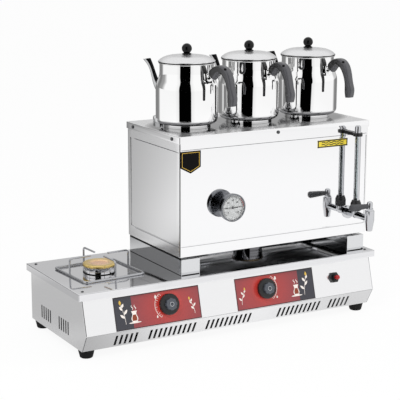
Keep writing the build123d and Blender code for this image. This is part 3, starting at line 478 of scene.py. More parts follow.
def mouldedHandle(name, centre, grip):
    # pressed in two-part dies; painted shade: the side towards the pot is painted darker and the side away from it
    # lighter, for how the light falls on the grip
    material = mouldedPlastic(name, "#2c2c2e", 0.3, grain=2.5, depth=0.015, Coat_Weight=0.2, Coat_Roughness=0.15)
    tree, shader = opened(material)
    tint(tree, shader, spread(tree, facing(tree, centre, grip), 0, 1, -0.03, 0.03), "#101011", "#47474b")
    return material


def chromePlate(name, colour, roughness):
    # chrome plated brass, buffed: the clearest reflection on the object, with a few dull spots
    material, tree, shader = newMaterial(name, colour, roughness, 1.0)
    roughen(tree, shader, addNode(tree, "TexNoise", {"Scale": 1.0, "Detail": 5.0,
                                                     "Vector": patternSpace(tree, unit=(9, 9, 9))}), roughness,
            roughness + 0.12, 0.52, 0.8)
    return material


def sooted(material, start, dark):
    # beyond a place along X the colour turns darker
    tree, shader = opened(material)
    x = addNode(tree, "SeparateXYZ", {0: addNode(tree, "TexCoord", output="Object")}, 0)
    colour = tuple(shader.inputs["Base Color"].default_value)
    soot = addNode(tree, "Mix", {"data_type": "RGBA", 0: spread(tree, x, 0, 1, start, start + 0.005), 6: colour,
                                 7: linear(dark)}, 2)
    tree.links.new(soot, shader.inputs["Base Color"])
    return material


def machinedBrass(name, centre=None):
    # turned brass; a burner cap is tinted copper pink by the flame in its middle and stays yellow at its rim
    material, tree, shader = newMaterial(name, "#cdae5c", 0.3, 1.0)
    spots = addNode(tree, "TexNoise", {"Scale": 1.0, "Detail": 4.0, "Vector": patternSpace(tree, unit=(12, 12, 12))})
    roughen(tree, shader, spots, 0.22, 0.42)
    relief(tree, shader, spots, 0.05)
    if centre:
        space = patternSpace(tree, centre, (40, 40, 4000))
        radius = addNode(tree, "VectorMath", {"operation": "LENGTH", 0: space}, "Value")
        mottled = addNode(tree, "Math", {"operation": "MULTIPLY_ADD", 0: spots, 1: 0.16, 2: radius})
        tint(tree, shader, mottled, (0.42, "#f0c4a2"), (0.6, "#f2cfa8"), (0.84, "#e2c67c"))
    return material


def mouldedPlastic(name, colour, roughness, grain=0.7, depth=0.03, **more):
    # injection moulded: an even skin with a fine spark-eroded grain
    material, tree, shader = newMaterial(name, colour, roughness, **more)
    cloud, skin = (addNode(tree, "TexNoise", {"Scale": 1.0, "Detail": 2.0,
                                              "Vector": patternSpace(tree, unit=(size, size, size))})
                   for size in (25, grain))
    roughen(tree, shader, cloud, roughness * 0.8, roughness * 1.25)
    relief(tree, shader, skin, depth)
    return material


def clearGlass(name, colour, roughness=0.02):
    # borosilicate glass, drawn: clear with a bright edge
    material, tree, shader = newMaterial(name, colour, roughness, Transmission_Weight=1.0, IOR=1.47)
    relief(tree, shader, addNode(tree, "TexNoise", {"Scale": 1.0, "Detail": 1.0,
                                                    "Vector": patternSpace(tree, unit=(6, 6, 60))}), 0.01)
    return material


def stovedPaint(name, colour, roughness=0.35, **more):
    # stoved enamel paint: smooth with a slight orange peel
    material, tree, shader = newMaterial(name, colour, roughness, **more)
    peel = addNode(tree, "TexNoise", {"Scale": 1.0, "Detail": 2.0,
                                      "Vector": patternSpace(tree, unit=(2.5, 2.5, 2.5))})
    relief(tree, shader, peel, 0.02)
    roughen(tree, shader, peel, roughness * 0.8, roughness * 1.2)
    return material


steelSide = stainlessSheet("satin stainless sheet", "#f0f0f1", 0.17)
steelHob = stainlessSheet("polished stainless hob", "#e6e6e8", 0.07, depth=0.004, wave=0.02)
steelFloor = stainlessSheet("mill finish stainless", "#a9aaac", 0.35)
steelFront = stainlessSheet("bright annealed stainless sheet", "#f5f5f6", 0.045, depth=0.002, wave=0.015, ends=0.16)
steelCover = stainlessSheet("bright stainless cover sheet", "#f5f5f6", 0.06, depth=0.002)
steelStand = stainlessSheet("bright stainless stand sheet", "#dadbdd", 0.09, depth=0.004)
steelTank = stainlessSheet("welded stainless tank", "#b9babc", 0.3)
steelPot = polishedSteel("mirror polished teapot steel", "#fbfbfb", 0.025)
screwDark = polishedSteel("blackened screw steel", "#57585a", 0.3)
steelWire = polishedSteel("bright drawn steel wire", "#b4b5b8", 0.07)
steelScrew = polishedSteel("zinc plated screw steel", "#cfd0d2", 0.22)
steelFiller = polishedSteel("turned stainless steel", "#dedfe0", 0.1)
chromeTap = chromePlate("chrome plated tap brass", "#c9cacd", 0.05)
chromeCup = sooted(chromePlate("chrome plated burner cup", "#d9d9db", 0.05), 0.0, "#7a7a7d")
chromeBezel = chromePlate("dark chrome bezel", "#7d7f83", 0.12)
brassFitting = machinedBrass("machined brass")
rubberFoot = mouldedPlastic("moulded nitrile rubber", "#0d0d0e", 0.6, grain=1.5, depth=0.06, Specular_IOR_Level=0.3)
knobBlack = mouldedPlastic("polished black bakelite", "#040405", 0.16, grain=4, depth=0.01, Specular_IOR_Level=0.3)
nylonBlack = mouldedPlastic("moulded black nylon", "#161617", 0.38)
nylonRed = mouldedPlastic("moulded red acrylic", "#a3161a", 0.18, grain=3, depth=0.01, Subsurface_Weight=0.1)
nylonLever = mouldedPlastic("moulded dark grey nylon", "#3d3e41", 0.45, grain=1.2, depth=0.05)
ceramicWhite = mouldedPlastic("glazed alumina", "#e9e6dc", 0.2, grain=5)
aluminiumPipe = stainlessSheet("drawn aluminium tube", "#c8c9cb", 0.3)
paintBlack = stovedPaint("black stoved enamel", "#141415")
# black enamel for the badge and screws, and painted shadow for black lines and rings in gaps
blackEnamelAndShadow = stovedPaint("deep black enamel and painted shadow", "#020202", 0.5, Specular_IOR_Level=0.12)
enamelWhite = stovedPaint("white dial enamel", "#f1f3f3", 0.3)
paintYellow = stovedPaint("yellow screen printed film", "#e6cf3a", 0.35)
inkWhite = stovedPaint("white screen ink", "#f1e9e2", 0.4)
inkGold = stovedPaint("ochre screen ink", "#d8b24a", 0.4)
inkDark = stovedPaint("charcoal screen ink", "#2a2023", 0.4)
inkBlack = stovedPaint("black screen ink", "#0d0d0e", 0.4)
inkTea = stovedPaint("tea brown screen ink", "#8a3a1c", 0.4)
inkRed = stovedPaint("red screen ink", "#c0262a", 0.4)
# painted shade: dark, grey and pale lines laid along bends, edges and gaps where shade falls
foldDark = stovedPaint("deep shadow gap", "#1c1c1e", 0.7, Specular_IOR_Level=0.1)
foldGrey = stovedPaint("shaded fold", "#5d5e60", 0.7, Specular_IOR_Level=0.1)
foldPale = stovedPaint("soft painted fold shade", "#9d9ea0", 0.7, Specular_IOR_Level=0.1)
glassDial = clearGlass("flat float glass", "#ffffff")
glassTube = clearGlass("borosilicate gauge tube", "#f4f8f8")
print("finishes mixed")


# CAD nodes

# each finish, with the nodes that wear it
worn = [
    (steelSide, "cabinet_body"), (steelHob, "hob_top"), (steelFloor, "cabinet_floor"), (rubberFoot, "feet"),
    (chromeCup, "burner_bodies"), (steelWire, "pan_support"), (brassFitting, "gas_valves injectors hose_nozzle"),
    (aluminiumPipe, "gas_pipes"), (steelScrew, "spindle_left spindle_right thermocouples thermometer_stem"),
    (nylonBlack, "igniter_body"), (nylonRed, "igniter_button"), (ceramicWhite, "spark_electrodes"),
    (steelStand, "boiler_stand stand_bars"), (steelFront, "boiler_casing"), (steelTank, "boiler_tank"),
    (steelCover, "boiler_cover"), (screwDark, "cover_screws"), (steelFiller, "filler_neck filler_cap"),
    (chromeBezel, "thermometer_case"), (enamelWhite, "thermometer_dial"), (glassDial, "thermometer_glass"),
    (paintBlack, "thermometer_needle gauge_nut gauge_bracket"), (glassTube, "gauge_glass"),
    (chromeTap, "tap_body tap_rosette tap_bonnet tap_plug gauge_guard gauge_cap"), (nylonLever, "tap_lever"),
]
finishes = {node: finish for finish, names in worn for node in names.split()}
knobLook = {"gripFoot": 15.3, "gripTop": 22.5, "ringRadius": 4.2, "ringWidth": 1.3, "ringRise": 0.4, "ringEdge": 0.2}
# painted shade on the cover round each pot: its reach, dark and light colours, and added roughness away from the pots
potShade = {"reach": (0.083, 0.103), "dark": "#757577", "light": "#f5f5f6", "dull": 0.22}


def middleOf(node):
    low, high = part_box(node)
    return (low + high) / 2


def knobFinish(joint):
    # black skirt below, slate grey lobed grip above, split by the height along the spindle
    origin, normal = Vector(joint["pos_m"]), Vector(joint["axis"])
    material, tree, shader = newMaterial("moulded knob plastic " + joint["child"], "#141415", 0.34)
    rise = addNode(tree, "VectorMath", {"operation": "DOT_PRODUCT", 0: addNode(tree, "TexCoord", output="Object"),
                                        1: normal}, "Value")
    grip = knobLook["gripFoot"] * mm + origin.dot(normal)
    tint(tree, shader, spread(tree, rise, 0, 1, grip - 0.0003, grip + 0.0003), "#121213", "#4b4f57")
    skin = addNode(tree, "TexNoise", {"Scale": 1.0, "Detail": 3.0, "Vector": patternSpace(tree, unit=(1, 1, 1))})
    relief(tree, shader, skin, 0.03)
    roughen(tree, shader, skin, 0.28, 0.42)
    return material


for number in pots:
    pot = "teapot_%d" % number
    axis, spout, grip = (middleOf(pot + piece) for piece in ("_lid", "_spout", "_handle"))
    finishes[pot + "_body"] = steelPot
    # the spout's finish carries painted shade on its side towards the pot
    finishes[pot + "_spout"] = buffedSpout("buffed spout steel %d" % number, axis, spout)
    # the grip's finish carries painted shade: darker towards the pot, lighter away from it
    finishes[pot + "_handle"] = mouldedHandle("moulded bakelite grip %d" % number, axis, grip)
    finishes[pot + "_lid"] = spunSteel("spun satin lid steel %d" % number, "#e4e4e5", 0.34, axis)
    finishes[pot + "_lid_knob"] = knobBlack
finishes["hob_burner_cap"] = machinedBrass("flame tinted brass", middleOf("hob_burner_cap"))
finishes["boiler_burner_cap"] = sooted(machinedBrass("darkened brass"), 0.0, "#6b5f4d")
for side in ("left", "right"):
    finishes["knob_" + side] = knobFinish(joints["gas_valve_%s_turn" % side])
# the cover gets painted shade in a ring round each pot
heatTinted(steelCover, [middleOf("teapot_%d_lid" % number) for number in pots], **potShade)


def dressNode(name, material):
    # weld the loose triangles, keep edges over 32 degrees sharp and shade the rest smooth
    node = nodes[name]
    if node.material_slots:
        node.material_slots[0].material = material
    else:
        node.data.materials.append(material)
    node.data.polygons.foreach_set("use_smooth", np.ones(len(node.data.polygons), bool))
    weld = node.modifiers.new("weld", "WELD")
    weld.merge_threshold = 0.00001
    split = node.modifiers.new("sharp", "EDGE_SPLIT")
    split.split_angle = radians(32)


for name, material in finishes.items():
    dressNode(name, material)
print("nodes dressed:", len(finishes))


# printed control panels

panel = {
    "height": (-43.2, 33.2),  # along the slope, from the control's centre
    "left": (-136, 84.5),  # each panel's two ends, from its own knob's centre
    "right": (-82, 139.5),
    "hole": 9.5,
    "film": 0.4,
    "edge": (0.3, 0.15),  # how far the film's edge is rounded, inwards and down
    "border": 1.6,
    "band": 45,  # width of the slate band at the far end
    "glow": (18, 90),  # where the red's glow round the knob starts to fade, and ends
    "scaleRadius": 33,
    "scaleTurn": 55,  # degrees that the scale runs to either side of level
    "scaleWidth": 1.1,
    "ticks": 12,
    "tickLong": 6.5,  # how far in from the scale the ticks reach, and where they stop short of it
    "tickShort": 4,
    "tickInset": 1.2,
    "tickWidth": 0.9,
    "mark": 0.12,  # thickness of the ink
    # what stands beside the knob, towards the far end: place and size of each
    "flameHigh": (30, 21.5, 9.5),
    "flameLow": (30, -24, 6.5),
    "glass": (87, -15, 25),
    "sprig": (110, -30, 44, 0.6),
    "innerSprig": (-68, -30, 32, 1),
}


def panelFilm(side, face):
    # rings from the knob's hole out to the rectangle, then down over the film's edge
    low, high = panel[side]
    foot, top = panel["height"]
    corners = np.arctan2([foot, foot, top, top], [low, high, high, low])
    turn = np.unique(np.concatenate([np.linspace(-pi, pi, 120, endpoint=False), corners]))
    c, s = np.cos(turn), np.sin(turn)
    reachX = np.where(c > 0, high, low) / np.where(np.abs(c) < 1e-9, 1e-9, c)
    reachY = np.where(s > 0, top, foot) / np.where(np.abs(s) < 1e-9, 1e-9, s)
    reach = np.minimum(np.abs(reachX), np.abs(reachY))
    hole, film, (inward, down) = panel["hole"], panel["film"], panel["edge"]
    rings = [(hole + 0 * reach, 0.0), (hole + 0 * reach, film)]
    rings += [(hole + (reach - inward - hole) * share, film) for share in (0.35, 0.7, 1.0)]
    rings += [(reach, film - down), (reach, 0.0)]
    points = np.stack([face(r * c * mm, r * s * mm, np.full(len(r), h * mm)) for r, h in rings])
    gridMesh("panel_film_" + side, points, panelPrint(side, face), "boiler_unit", "knob_plastic")


def panelPrint(side, face):
    # screen printed polyester film: red with a brighter glow round the knob and a slate band at its far end
    origin, across = face(0, 0, 0), face(1, 0, 0) - face(0, 0, 0)
    material, tree, shader = newMaterial("screen printed polyester " + side, "#9c2b2c", 0.28, Coat_Weight=0.2,
                                         Coat_Roughness=0.12)
    place = patternSpace(tree, Vector(origin))
    x = addNode(tree, "VectorMath", {"operation": "DOT_PRODUCT", 0: place, 1: Vector(across)}, "Value")
    distance = addNode(tree, "VectorMath", {"operation": "LENGTH", 0: place}, "Value")
    glow = addNode(tree, "ValToRGB", {0: spread(tree, distance, 0, 1, *panel["glow"]),
                                      "stops": [(0.0, "#dd4238"), (0.3, "#a83b3a"), (1.0, "#8b3a3f")]})
    low, high = panel[side]
    end, inner = (low, low + panel["band"]) if side == "left" else (high, high - panel["band"])
    band = spread(tree, x, 0, 1, inner, inner + (0.4 if end > inner else -0.4))
    slate = addNode(tree, "Mix", {"data_type": "RGBA", 0: band, 6: glow, 7: linear("#31313a")}, 2)
    grain = addNode(tree, "TexNoise", {"Scale": 1.0, "Detail": 2.0, "Vector": patternSpace(tree, unit=(3, 3, 3))})
    shade = addNode(tree, "HueSaturation", {"Color": slate, "Value": spread(tree, grain, 0.93, 1.07)})
    tree.links.new(shade, shader.inputs["Base Color"])
    return material


def panelMark(name, face, path, width, material=inkWhite, slotName="dial_enamel", lift=0.0):
    ribbonMesh(name, face, path, width, panel["mark"], material, slotName, base=panel["film"] + lift)


def teaGlass(side, face, x, y, size):
    # a waisted tea glass: the half width is a slow wave up its height, with a saucer and two curls of steam
    t = np.linspace(0, 1, 30)
    width = size * (0.48 + 0.12 * np.sin(2 * pi * (1.15 * t - 0.08)))
    spine = np.stack([x + 0 * t, y + size * (t - 0.5)], -1)
    panelMark("panel_glass_" + side, face, spine, width * 1.12)
    fill = slice(3, 20)
    panelMark("panel_tea_" + side, face, spine[fill], width[fill] * 0.8, inkTea, lift=panel["mark"])
    across = np.linspace(-1, 1, 24)
    saucer = np.stack([x + size * 0.62 * across, np.full(24, y - 0.56 * size)], -1)
    panelMark("panel_saucer_" + side, face, saucer, size * 0.13 * np.sqrt(1.02 - across ** 2))
    for number, shift in enumerate((-0.16, 0.14), 1):
        curl = np.stack([x + size * (shift + 0.07 * np.sin(2 * pi * t)), y + size * (0.62 + 0.42 * t)], -1)
        panelMark("panel_steam_%s_%d" % (side, number), face, curl, size * 0.07 * np.sin(pi * (0.1 + 0.85 * t)))


# where each leaf starts on the stem, its turn in degrees and its length
leaves = [(0.3, 48, 0.34), (0.5, -40, 0.32), (0.72, 38, 0.28), (0.86, -30, 0.24), (1.0, 4, 0.26)]


def leafSprig(side, face, x, y, size, lean):
    # a tea sprig: a bowed stem with pointed leaves, each as wide as half a sine along its length
    t = np.linspace(0, 1, 16)
    bow = lambda s: np.array([x + lean * size * 0.35 * s ** 2, y + size * s])
    panelMark("sprig_stem_" + side, face, np.stack([bow(s) for s in t]), 0.9)
    for number, (start, turn, length) in enumerate(leaves, 1):
        heading = radians(90 + turn)
        along = size * length * t[:, None] * np.array([[cos(heading), sin(heading)]])
        panelMark("sprig_leaf_%s_%d" % (side, number), face, bow(start) + along,
                  size * 0.13 * np.sin(pi * np.clip(t, 0.02, 0.98)), inkGold if number == len(leaves) else inkWhite)


def flame(name, face, x, y, size):
    # a drop: the half width is a sine that leans to the foot
    t = np.linspace(0.01, 0.99, 20)
    path = np.stack([x + size * 0.1 * np.sin(pi * t), y + size * (t - 0.5)], -1)
    panelMark(name, face, path, size * 0.62 * np.sin(pi * t ** 0.7))


def panelScale(side, face, middle):
    radius, half = panel["scaleRadius"], panel["scaleTurn"]
    path = arc(radius, middle - half, middle + half, 40)
    panelMark("panel_scale_" + side, face, path, panel["scaleWidth"], slotName="knob_plastic")
    for number, turn in enumerate(np.linspace(-half, half, panel["ticks"])):
        length = panel["tickShort"] if number % 3 else panel["tickLong"]
        path = spoke(radians(middle + turn), radius - length, radius - panel["tickInset"])
        panelMark("panel_tick_%s_%d" % (side, number), face, path, panel["tickWidth"], slotName="knob_plastic")


def controlPanel(side):
    face = controlFace(side)
    panelFilm(side, face)
    edge = panel["border"] / 2 + 0.5
    for number, (start, end) in enumerate(borderSides(*panel[side], *panel["height"], edge, inset=0.6), 1):
        panelMark("panel_border_%s_%d" % (side, number), face, np.linspace(start, end, 8), panel["border"],
                  inkDark, "knob_plastic", lift=0.02 if number > 2 else 0.0)
    away = -1 if side == "left" else 1
    panelScale(side, face, 180 if side == "left" else 0)
    for draw, name, key in ((flame, "panel_flame_high_" + side, "flameHigh"),
                            (flame, "panel_flame_low_" + side, "flameLow"), (teaGlass, side, "glass")):
        x, y, size = panel[key]
        draw(name, face, away * x, y, size)
    for name, key in ((side, "sprig"), (side + "_inner", "innerSprig")):
        x, y, size, lean = panel[key]
        leafSprig(name, face, away * x, y, size, away * lean)


for side in ("left", "right"):
    controlPanel(side)
print("panels printed")

for side in ("left", "right"):
    radius, width, top = knobLook["ringRadius"], knobLook["ringWidth"], knobLook["gripTop"]
    crest, edge = top + knobLook["ringRise"], knobLook["ringEdge"]
    revolvedMesh("knob_ring_" + side, controlFace(side),
                 [(radius, top), (radius + edge, crest), (radius + width - edge, crest), (radius + width, top),
                  (radius, top)], chromeTap, "knob_" + side, "tap_chrome")
print("knob rings set")


# blank badge and level plate on the boiler's front, in millimetres from the object's middle and the hob

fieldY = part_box("boiler_casing")[0].y + 1 * mm
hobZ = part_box("hob_top")[1].z
front = frontFace((0, fieldY, hobZ))
badge = {"left": -136, "right": -83, "top": 292, "shoulder": 254, "point": 240, "thickness": 1.6, "line": 1.0,
         "inset": 0.84, "lineHeight": 0.15}
levelPlate = {"left": 241.6, "right": 329.8, "foot": 268.6, "top": 287, "thickness": 0.6, "border": 2.8,
              "ink": 0.1, "waves": (275.4, 280.8), "swell": 1.3, "halfWave": 8, "waveInset": 12}


def makeBadge():
    # a shield with a flat top, straight sides and a blunt point
    left, right, top, point = (badge[key] for key in ("left", "right", "top", "point"))
    middle = (left + right) / 2
    outline = [(left, top), (left, badge["shoulder"]), (middle, point), (right, badge["shoulder"]), (right, top)]
    plateMesh("badge_plate", front, outline, badge["thickness"], 0.5, blackEnamelAndShadow, "boiler_unit", "bracket_black")
    centre = np.array([middle, (top + point) / 2 + 3])
    loop = centre + (np.array(outline + outline[:1]) - centre) * badge["inset"]
    for number, (start, end) in enumerate(zip(loop[:-1], loop[1:]), 1):
        ribbonMesh("badge_line_%d" % number, front, np.linspace(start, end, 4), badge["line"], badge["lineHeight"],
                   inkGold, "dial_enamel", base=badge["thickness"] + 0.01 * number)


def makeLevelPlate():
    # a yellow plate behind the gauge with a black border and waves for the water level
    left, right, foot, top, thickness = (levelPlate[key] for key in ("left", "right", "foot", "top", "thickness"))
    outline = [(left, foot), (right, foot), (right, top), (left, top)]
    plateMesh("level_plate", front, outline, thickness, 0.15, paintYellow, "boiler_unit", "dial_enamel")
    edge = levelPlate["border"] / 2 + 0.4
    for number, (start, end) in enumerate(borderSides(left, right, foot, top, edge), 1):
        ribbonMesh("level_border_%d" % number, front, np.linspace(start, end, 6), levelPlate["border"],
                   levelPlate["ink"], inkBlack, base=thickness + 0.015 * number)
    x = np.linspace(left + levelPlate["waveInset"], right - levelPlate["waveInset"], 90)
    for number, height in enumerate(levelPlate["waves"], 1):
        wave = np.stack([x, height + levelPlate["swell"] * np.sin((x - x[0]) / levelPlate["halfWave"] * pi)], -1)
        ribbonMesh("level_wave_%d" % number, front, wave, 2.0, levelPlate["ink"], inkBlack, base=thickness)


# painted shade lines at folds and shadow gaps

fold = {"width": 1.1, "height": 0.12, "corner": 3, "standReturn": 49, "apron": 32, "creaseLow": 24, "creaseHigh": 36,
        "creaseBack": 0.86}


def boxMm(node):
    return [np.array(corner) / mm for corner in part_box(node)]


def foldLine(name, face, start, end, material, width=1.0):
    ribbonMesh("fold_" + name, face, np.linspace(start, end, 5), fold["width"] * width, fold["height"], material)


def boilerFolds():
    # painted shade: the shaded hollow of each bend in the sheet, as a narrow line in millimetres on its face
    low, high = boxMm("boiler_casing")
    coverLow, coverHigh = boxMm("boiler_cover")
    round45 = fold["corner"] * (1 - 0.5 ** 0.5)
    bend = surfaceFrame(((low[0] + round45) * mm, (low[1] + round45) * mm, 0), (1, -1, 0), (-1, -1, 0))
    foldLine("front_corner", bend, (0, low[2] + 1), (0, coverLow[2] - 1), foldDark, 2.0)
    face = frontFace((0, low[1] * mm, 0))
    for name, height, material in (("front_apron", coverHigh[2] - fold["apron"], foldGrey),
                                   ("front_crease", low[2] + fold["creaseLow"], foldPale)):
        foldLine(name, face, (low[0] + 4, height), (high[0] - 4, height), material)
    end = endFace((low[0] * mm, 0, 0))
    back = low[1] + (high[1] - low[1]) * fold["creaseBack"]
    for name, height in (("side_low", low[2] + fold["creaseLow"]), ("side_high", high[2] - fold["creaseHigh"])):
        foldLine(name, end, (-low[1] - 4, height), (-back, height), foldGrey)
    foldLine("cover_corner", frontFace((0, coverLow[1] * mm, 0)), (coverLow[0] + 1.2, coverLow[2] + 1),
             (coverLow[0] + 1.2, coverHigh[2] - 1.5), foldDark, 1.4)


def standFolds():
    # painted shadow: a black line in the gap between stand and boiler, and dark lines at the stand's feet
    low, high = boxMm("boiler_stand")
    boilerFoot = boxMm("boiler_casing")[0][2]
    face, end = frontFace((0, low[1] * mm, 0)), endFace((low[0] * mm, 0, 0))
    gapShadow = (high[2] + boilerFoot) / 2 - 0.6
    for name, height, width in (("gapShadow", gapShadow, (boilerFoot - gapShadow) * 2 / fold["width"]),
                                ("foot", low[2] + fold["width"] / 2, 1.0)):
        foldLine("stand_end_" + name, end, (-low[1] - 1, height), (-high[1] + 1, height), blackEnamelAndShadow, width)
    for name, left in (("left", low[0]), ("right", high[0] - fold["standReturn"])):
        foldLine("stand_foot_" + name, face, (left + 1, low[2] + 1), (left + fold["standReturn"] - 1, low[2] + 1),
                 foldDark, 1.8)


def cabinetFolds():
    # painted shade lines along the hob's turned down edge and the bends of the cabinet's sloping front, and painted
    # shadow under the hob's edge
    low, high = boxMm("hob_top")
    cabinetLow, cabinetHigh = boxMm("cabinet_body")
    half = fold["width"] / 2
    face, end = frontFace((0, low[1] * mm, 0)), endFace((low[0] * mm, 0, 0))
    foldLine("lip_front", face, (low[0] + 1, high[2] - 1), (high[0] - 1, high[2] - 1), foldPale, 0.7)
    foldLine("lip_end", end, (-low[1] - 1, high[2] - 1), (-high[1] + 1, high[2] - 1), foldGrey, 0.7)
    foldLine("lip_corner", face, (low[0] + 1, low[2] + 1), (low[0] + 1, high[2] - 1), foldGrey, 0.7)
    end = endFace((cabinetLow[0] * mm, 0, 0))
    foldLine("under_lip", end, (-low[1] - 8, low[2] - 1.2), (-cabinetHigh[1] + 2, low[2] - 1.2), foldGrey, 1.6)
    # the upper slope is the controls' face; the lower one runs from the foremost edge to the foot
    shape = np.array([vertex.co for vertex in nodes["cabinet_body"].data.vertices]) / mm
    edge = shape[shape[:, 1].argmin()]
    foot = shape[shape[:, 2] < cabinetLow[2] + 0.1]
    foot = foot[foot[:, 1].argmin()]
    down = Vector((0, foot[1] - edge[1], foot[2] - edge[2]))
    upper = controlFace("left")
    lower = surfaceFrame((0, edge[1] * mm, edge[2] * mm), (1, 0, 0), down.cross(Vector((1, 0, 0))))
    joint = joints["gas_valve_left_turn"]
    centre, tilt = joint["pos_m"][0] / mm, joint["axis"][2] / -joint["axis"][1]
    drop, rise = ((z - joint["pos_m"][2] / mm) * (1 + tilt ** 2) ** 0.5 for z in (edge[2], low[2]))
    left, right = cabinetLow[0], cabinetHigh[0]
    foldLine("upper_left", upper, (left - centre + 1.4, drop + 1), (left - centre + 1.4, rise - 1), foldDark, 1.4)
    foldLine("lower_left", lower, (left + 1.4, -1), (left + 1.4, -down.length + 1), foldGrey, 1.2)
    foldLine("upper_right", upper, (right - centre - 1, drop + 1), (right - centre - 1, rise - 1), foldPale)
    foldLine("lower_right", lower, (right - 1, -1), (right - 1, -down.length + 1), foldPale)
    foldLine("bend", lower, (left + 2, -half), (right - 2, -half), foldPale)
    foldLine("under_lip_front", upper, (left - centre + 2, rise - half), (right - centre - 2, rise - half), foldGrey,
             1.4)


makeBadge()
makeLevelPlate()
boilerFolds()
standFolds()
cabinetFolds()
print("plates fixed")


# thermometer dial

dial = {"high": 120, "sweep": 270, "start": 225, "radius": 26.5, "mark": 0.12, "numeral": 6.2, "bold": 0.12,
        "numeralInset": 9.6, "track": 0.7, "long": (4.6, 1.0), "short": (2.6, 0.5), "zone": (80, 100),
        "zoneWidth": 1.9}


def dialTurn(degrees):
    return dial["start"] - dial["sweep"] * degrees / dial["high"]


def makeDial():
    # a mark each two degrees over a sweep of 270, and a numeral each twenty
    low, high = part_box("thermometer_dial")
    face = frontFace(((low.x + high.x) / 2, low.y, (low.z + high.z) / 2))
    radius, mark = dial["radius"], dial["mark"]
    path = arc(radius, dial["start"], dialTurn(dial["high"]), 90)
    ribbonMesh("dial_track", face, path, dial["track"], mark, inkBlack)
    for step in range(0, dial["high"] + 1, 2):
        turn = radians(dialTurn(step))
        length, width = dial["long"] if step % 10 == 0 else dial["short"]
        path = spoke(turn, radius - length, radius)
        ribbonMesh("dial_mark_%d" % step, face, path, width, mark, inkBlack, base=0.01)
        if step % 20 == 0:
            reach = radius - dial["numeralInset"]
            numeral("dial_numeral_%d" % step, str(step), face, (reach * cos(turn), reach * sin(turn)))
    start, end = (dialTurn(degrees) for degrees in dial["zone"])
    width = dial["zoneWidth"]
    ribbonMesh("dial_zone", face, arc(radius + width, start, end, 30), width, mark, inkRed)


def numeral(name, words, face, centre):
    curve = bpy.data.curves.new(name, "FONT")
    curve.body = words
    curve.size = dial["numeral"] * mm
    curve.align_x, curve.align_y = "CENTER", "CENTER"
    lift = dial["mark"] * mm / 2
    curve.extrude = lift
    curve.offset = dial["bold"] * mm
    holder = addObject(name, curve)
    bpy.context.view_layer.update()
    mesh = bpy.data.meshes.new_from_object(holder.evaluated_get(bpy.context.evaluated_depsgraph_get()))
    bpy.data.objects.remove(holder)
    points = np.zeros(len(mesh.vertices) * 3)
    mesh.vertices.foreach_get("co", points)
    points = points.reshape(-1, 3)
    placed = face(points[:, 0] + centre[0] * mm, points[:, 1] + centre[1] * mm, points[:, 2] + lift)
    mesh.vertices.foreach_set("co", placed.ravel())
    mesh.materials.clear()
    addPiece(name, mesh, inkBlack, "boiler_unit", "bracket_black")


makeDial()
print("dial marked")


# painted shadow bands and collars of the lids

lidShadowBand = {"foot": 6.9, "height": 1.7, "wall": 0.5, "lap": 1, "edge": (0.2, 0.4)}
lidCollar = {"inner": 6.5, "outer": 11, "rise": 2.2, "drop": 3, "edge": 0.8}


def makeLidTrim(number):
    # a black band round the lid's edge as painted shadow under its rim, and a collar under its knob
    low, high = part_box("teapot_%d_lid" % number)
    middle, radius = (low + high) / 2, (high.x - low.x) / 2 / mm
    foot, top = lidShadowBand["foot"], lidShadowBand["foot"] + lidShadowBand["height"]
    inner, outer, (inward, down) = radius - lidShadowBand["lap"], radius + lidShadowBand["wall"], lidShadowBand["edge"]
    revolvedMesh("lid_rim_%d" % number, topFace((middle.x, middle.y, low.z)),
                 [(inner, foot), (outer - inward, foot), (outer, foot + down), (outer, top - down),
                  (outer - inward, top), (inner, top)],
                 blackEnamelAndShadow, "lid_%d" % number, "lid_knob_plastic", sides=72)
    inner, outer, rise, drop, edge = (lidCollar[key] for key in ("inner", "outer", "rise", "drop", "edge"))
    revolvedMesh("lid_collar_%d" % number, topFace((middle.x, middle.y, high.z)),
                 [(inner, rise), (outer - edge, rise), (outer, rise - edge), (outer, -drop), (inner, -drop)],
                 knobBlack, "lid_%d" % number, "lid_knob_plastic", sides=48)


for number in pots:
    makeLidTrim(number)
print("lids trimmed")


# screws at the hob's corners

screw = {"head": 3.6, "rise": 1.8, "slot": 0.9, "inset": (17.5, 18.6), "turn": 0.4}


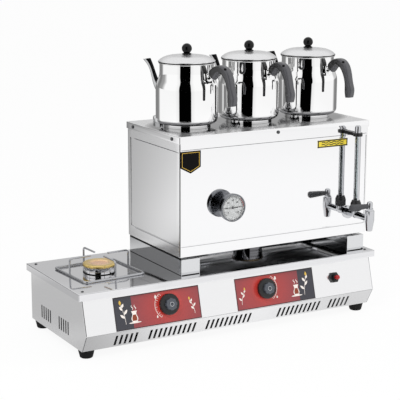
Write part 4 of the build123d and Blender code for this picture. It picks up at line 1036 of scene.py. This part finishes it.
def panScrew(name, face):
    # a domed head, turned from a quarter ellipse, with a dark cross recess
    head, rise = screw["head"], screw["rise"]
    dome = [(head * cos(a), 0.25 * rise + 0.75 * rise * sin(a)) for a in np.linspace(0, pi / 2, 8)]
    revolvedMesh(name, face, [(0.01, 0), (head, 0), *dome], screwDark, "boiler_unit", "screw_steel", sides=24)
    for number, turn in enumerate((screw["turn"], screw["turn"] + pi / 2), 1):
        ribbonMesh("%s_recess_%d" % (name, number), face, spoke(turn, -head * 0.5, head * 0.5), screw["slot"], 0.12,
                   inkBlack, base=rise * 0.93 + 0.01 * number)


low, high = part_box("hob_top")
insetX, insetY = (value * mm for value in screw["inset"])
corners = [(x, y) for y in (low.y + insetY, high.y - insetY) for x in (low.x + insetX, high.x - insetX)]
for number, (x, y) in enumerate(corners, 1):
    panScrew("hob_screw_%d" % number, topFace((x, y, hobZ)))


# handle screws, and a painted shadow ring round the hob burner

handleScrew = {"radius": 3.2, "rise": 0.4, "lean": (0.5, 0.62, 0.6)}
burnerShadowRing = {"radius": 36.6, "width": 2.2, "height": 1.5, "edge": 0.7}


def makeHandleScrew(number):
    # sunk in the flank of the handle's upper bend, on the side that faces the front
    pot, grip = middleOf("teapot_%d_lid" % number), middleOf("teapot_%d_handle" % number)
    outward = Vector((grip.x - pot.x, grip.y - pot.y, 0)).normalized()
    aside = Vector((outward.y, -outward.x, 0))
    out, up, across = handleScrew["lean"]
    lean = outward * out + Vector((0, 0, up)) + aside * across
    crest = max((vertex.co for vertex in nodes["teapot_%d_handle" % number].data.vertices), key=lean.dot)
    radius, rise = handleScrew["radius"], handleScrew["rise"]
    revolvedMesh("handle_screw_%d" % number, surfaceFrame(crest, lean.orthogonal(), lean),
                 [(0.01, -rise), (radius, -rise), (radius, 0.6 * rise), (0.8 * radius, rise), (0.01, rise)],
                 blackEnamelAndShadow, "teapot_%d" % number, "lid_knob_plastic", sides=24)


def makeBurnerRing():
    # a black ring on the hob round the burner cup, as painted shadow in the gap
    cap = middleOf("hob_burner_cap")
    inner, height, edge = burnerShadowRing["radius"], burnerShadowRing["height"], burnerShadowRing["edge"]
    outer = inner + burnerShadowRing["width"]
    revolvedMesh("burner_shadow_ring", topFace((cap.x, cap.y, hobZ)),
                 [(inner, 0.02), (outer, 0.02), (outer, height - edge), (outer - edge, height), (inner, height)],
                 blackEnamelAndShadow, "boiler_unit", "bracket_black", sides=72)


for number in pots:
    makeHandleScrew(number)
makeBurnerRing()
print("small rings set")
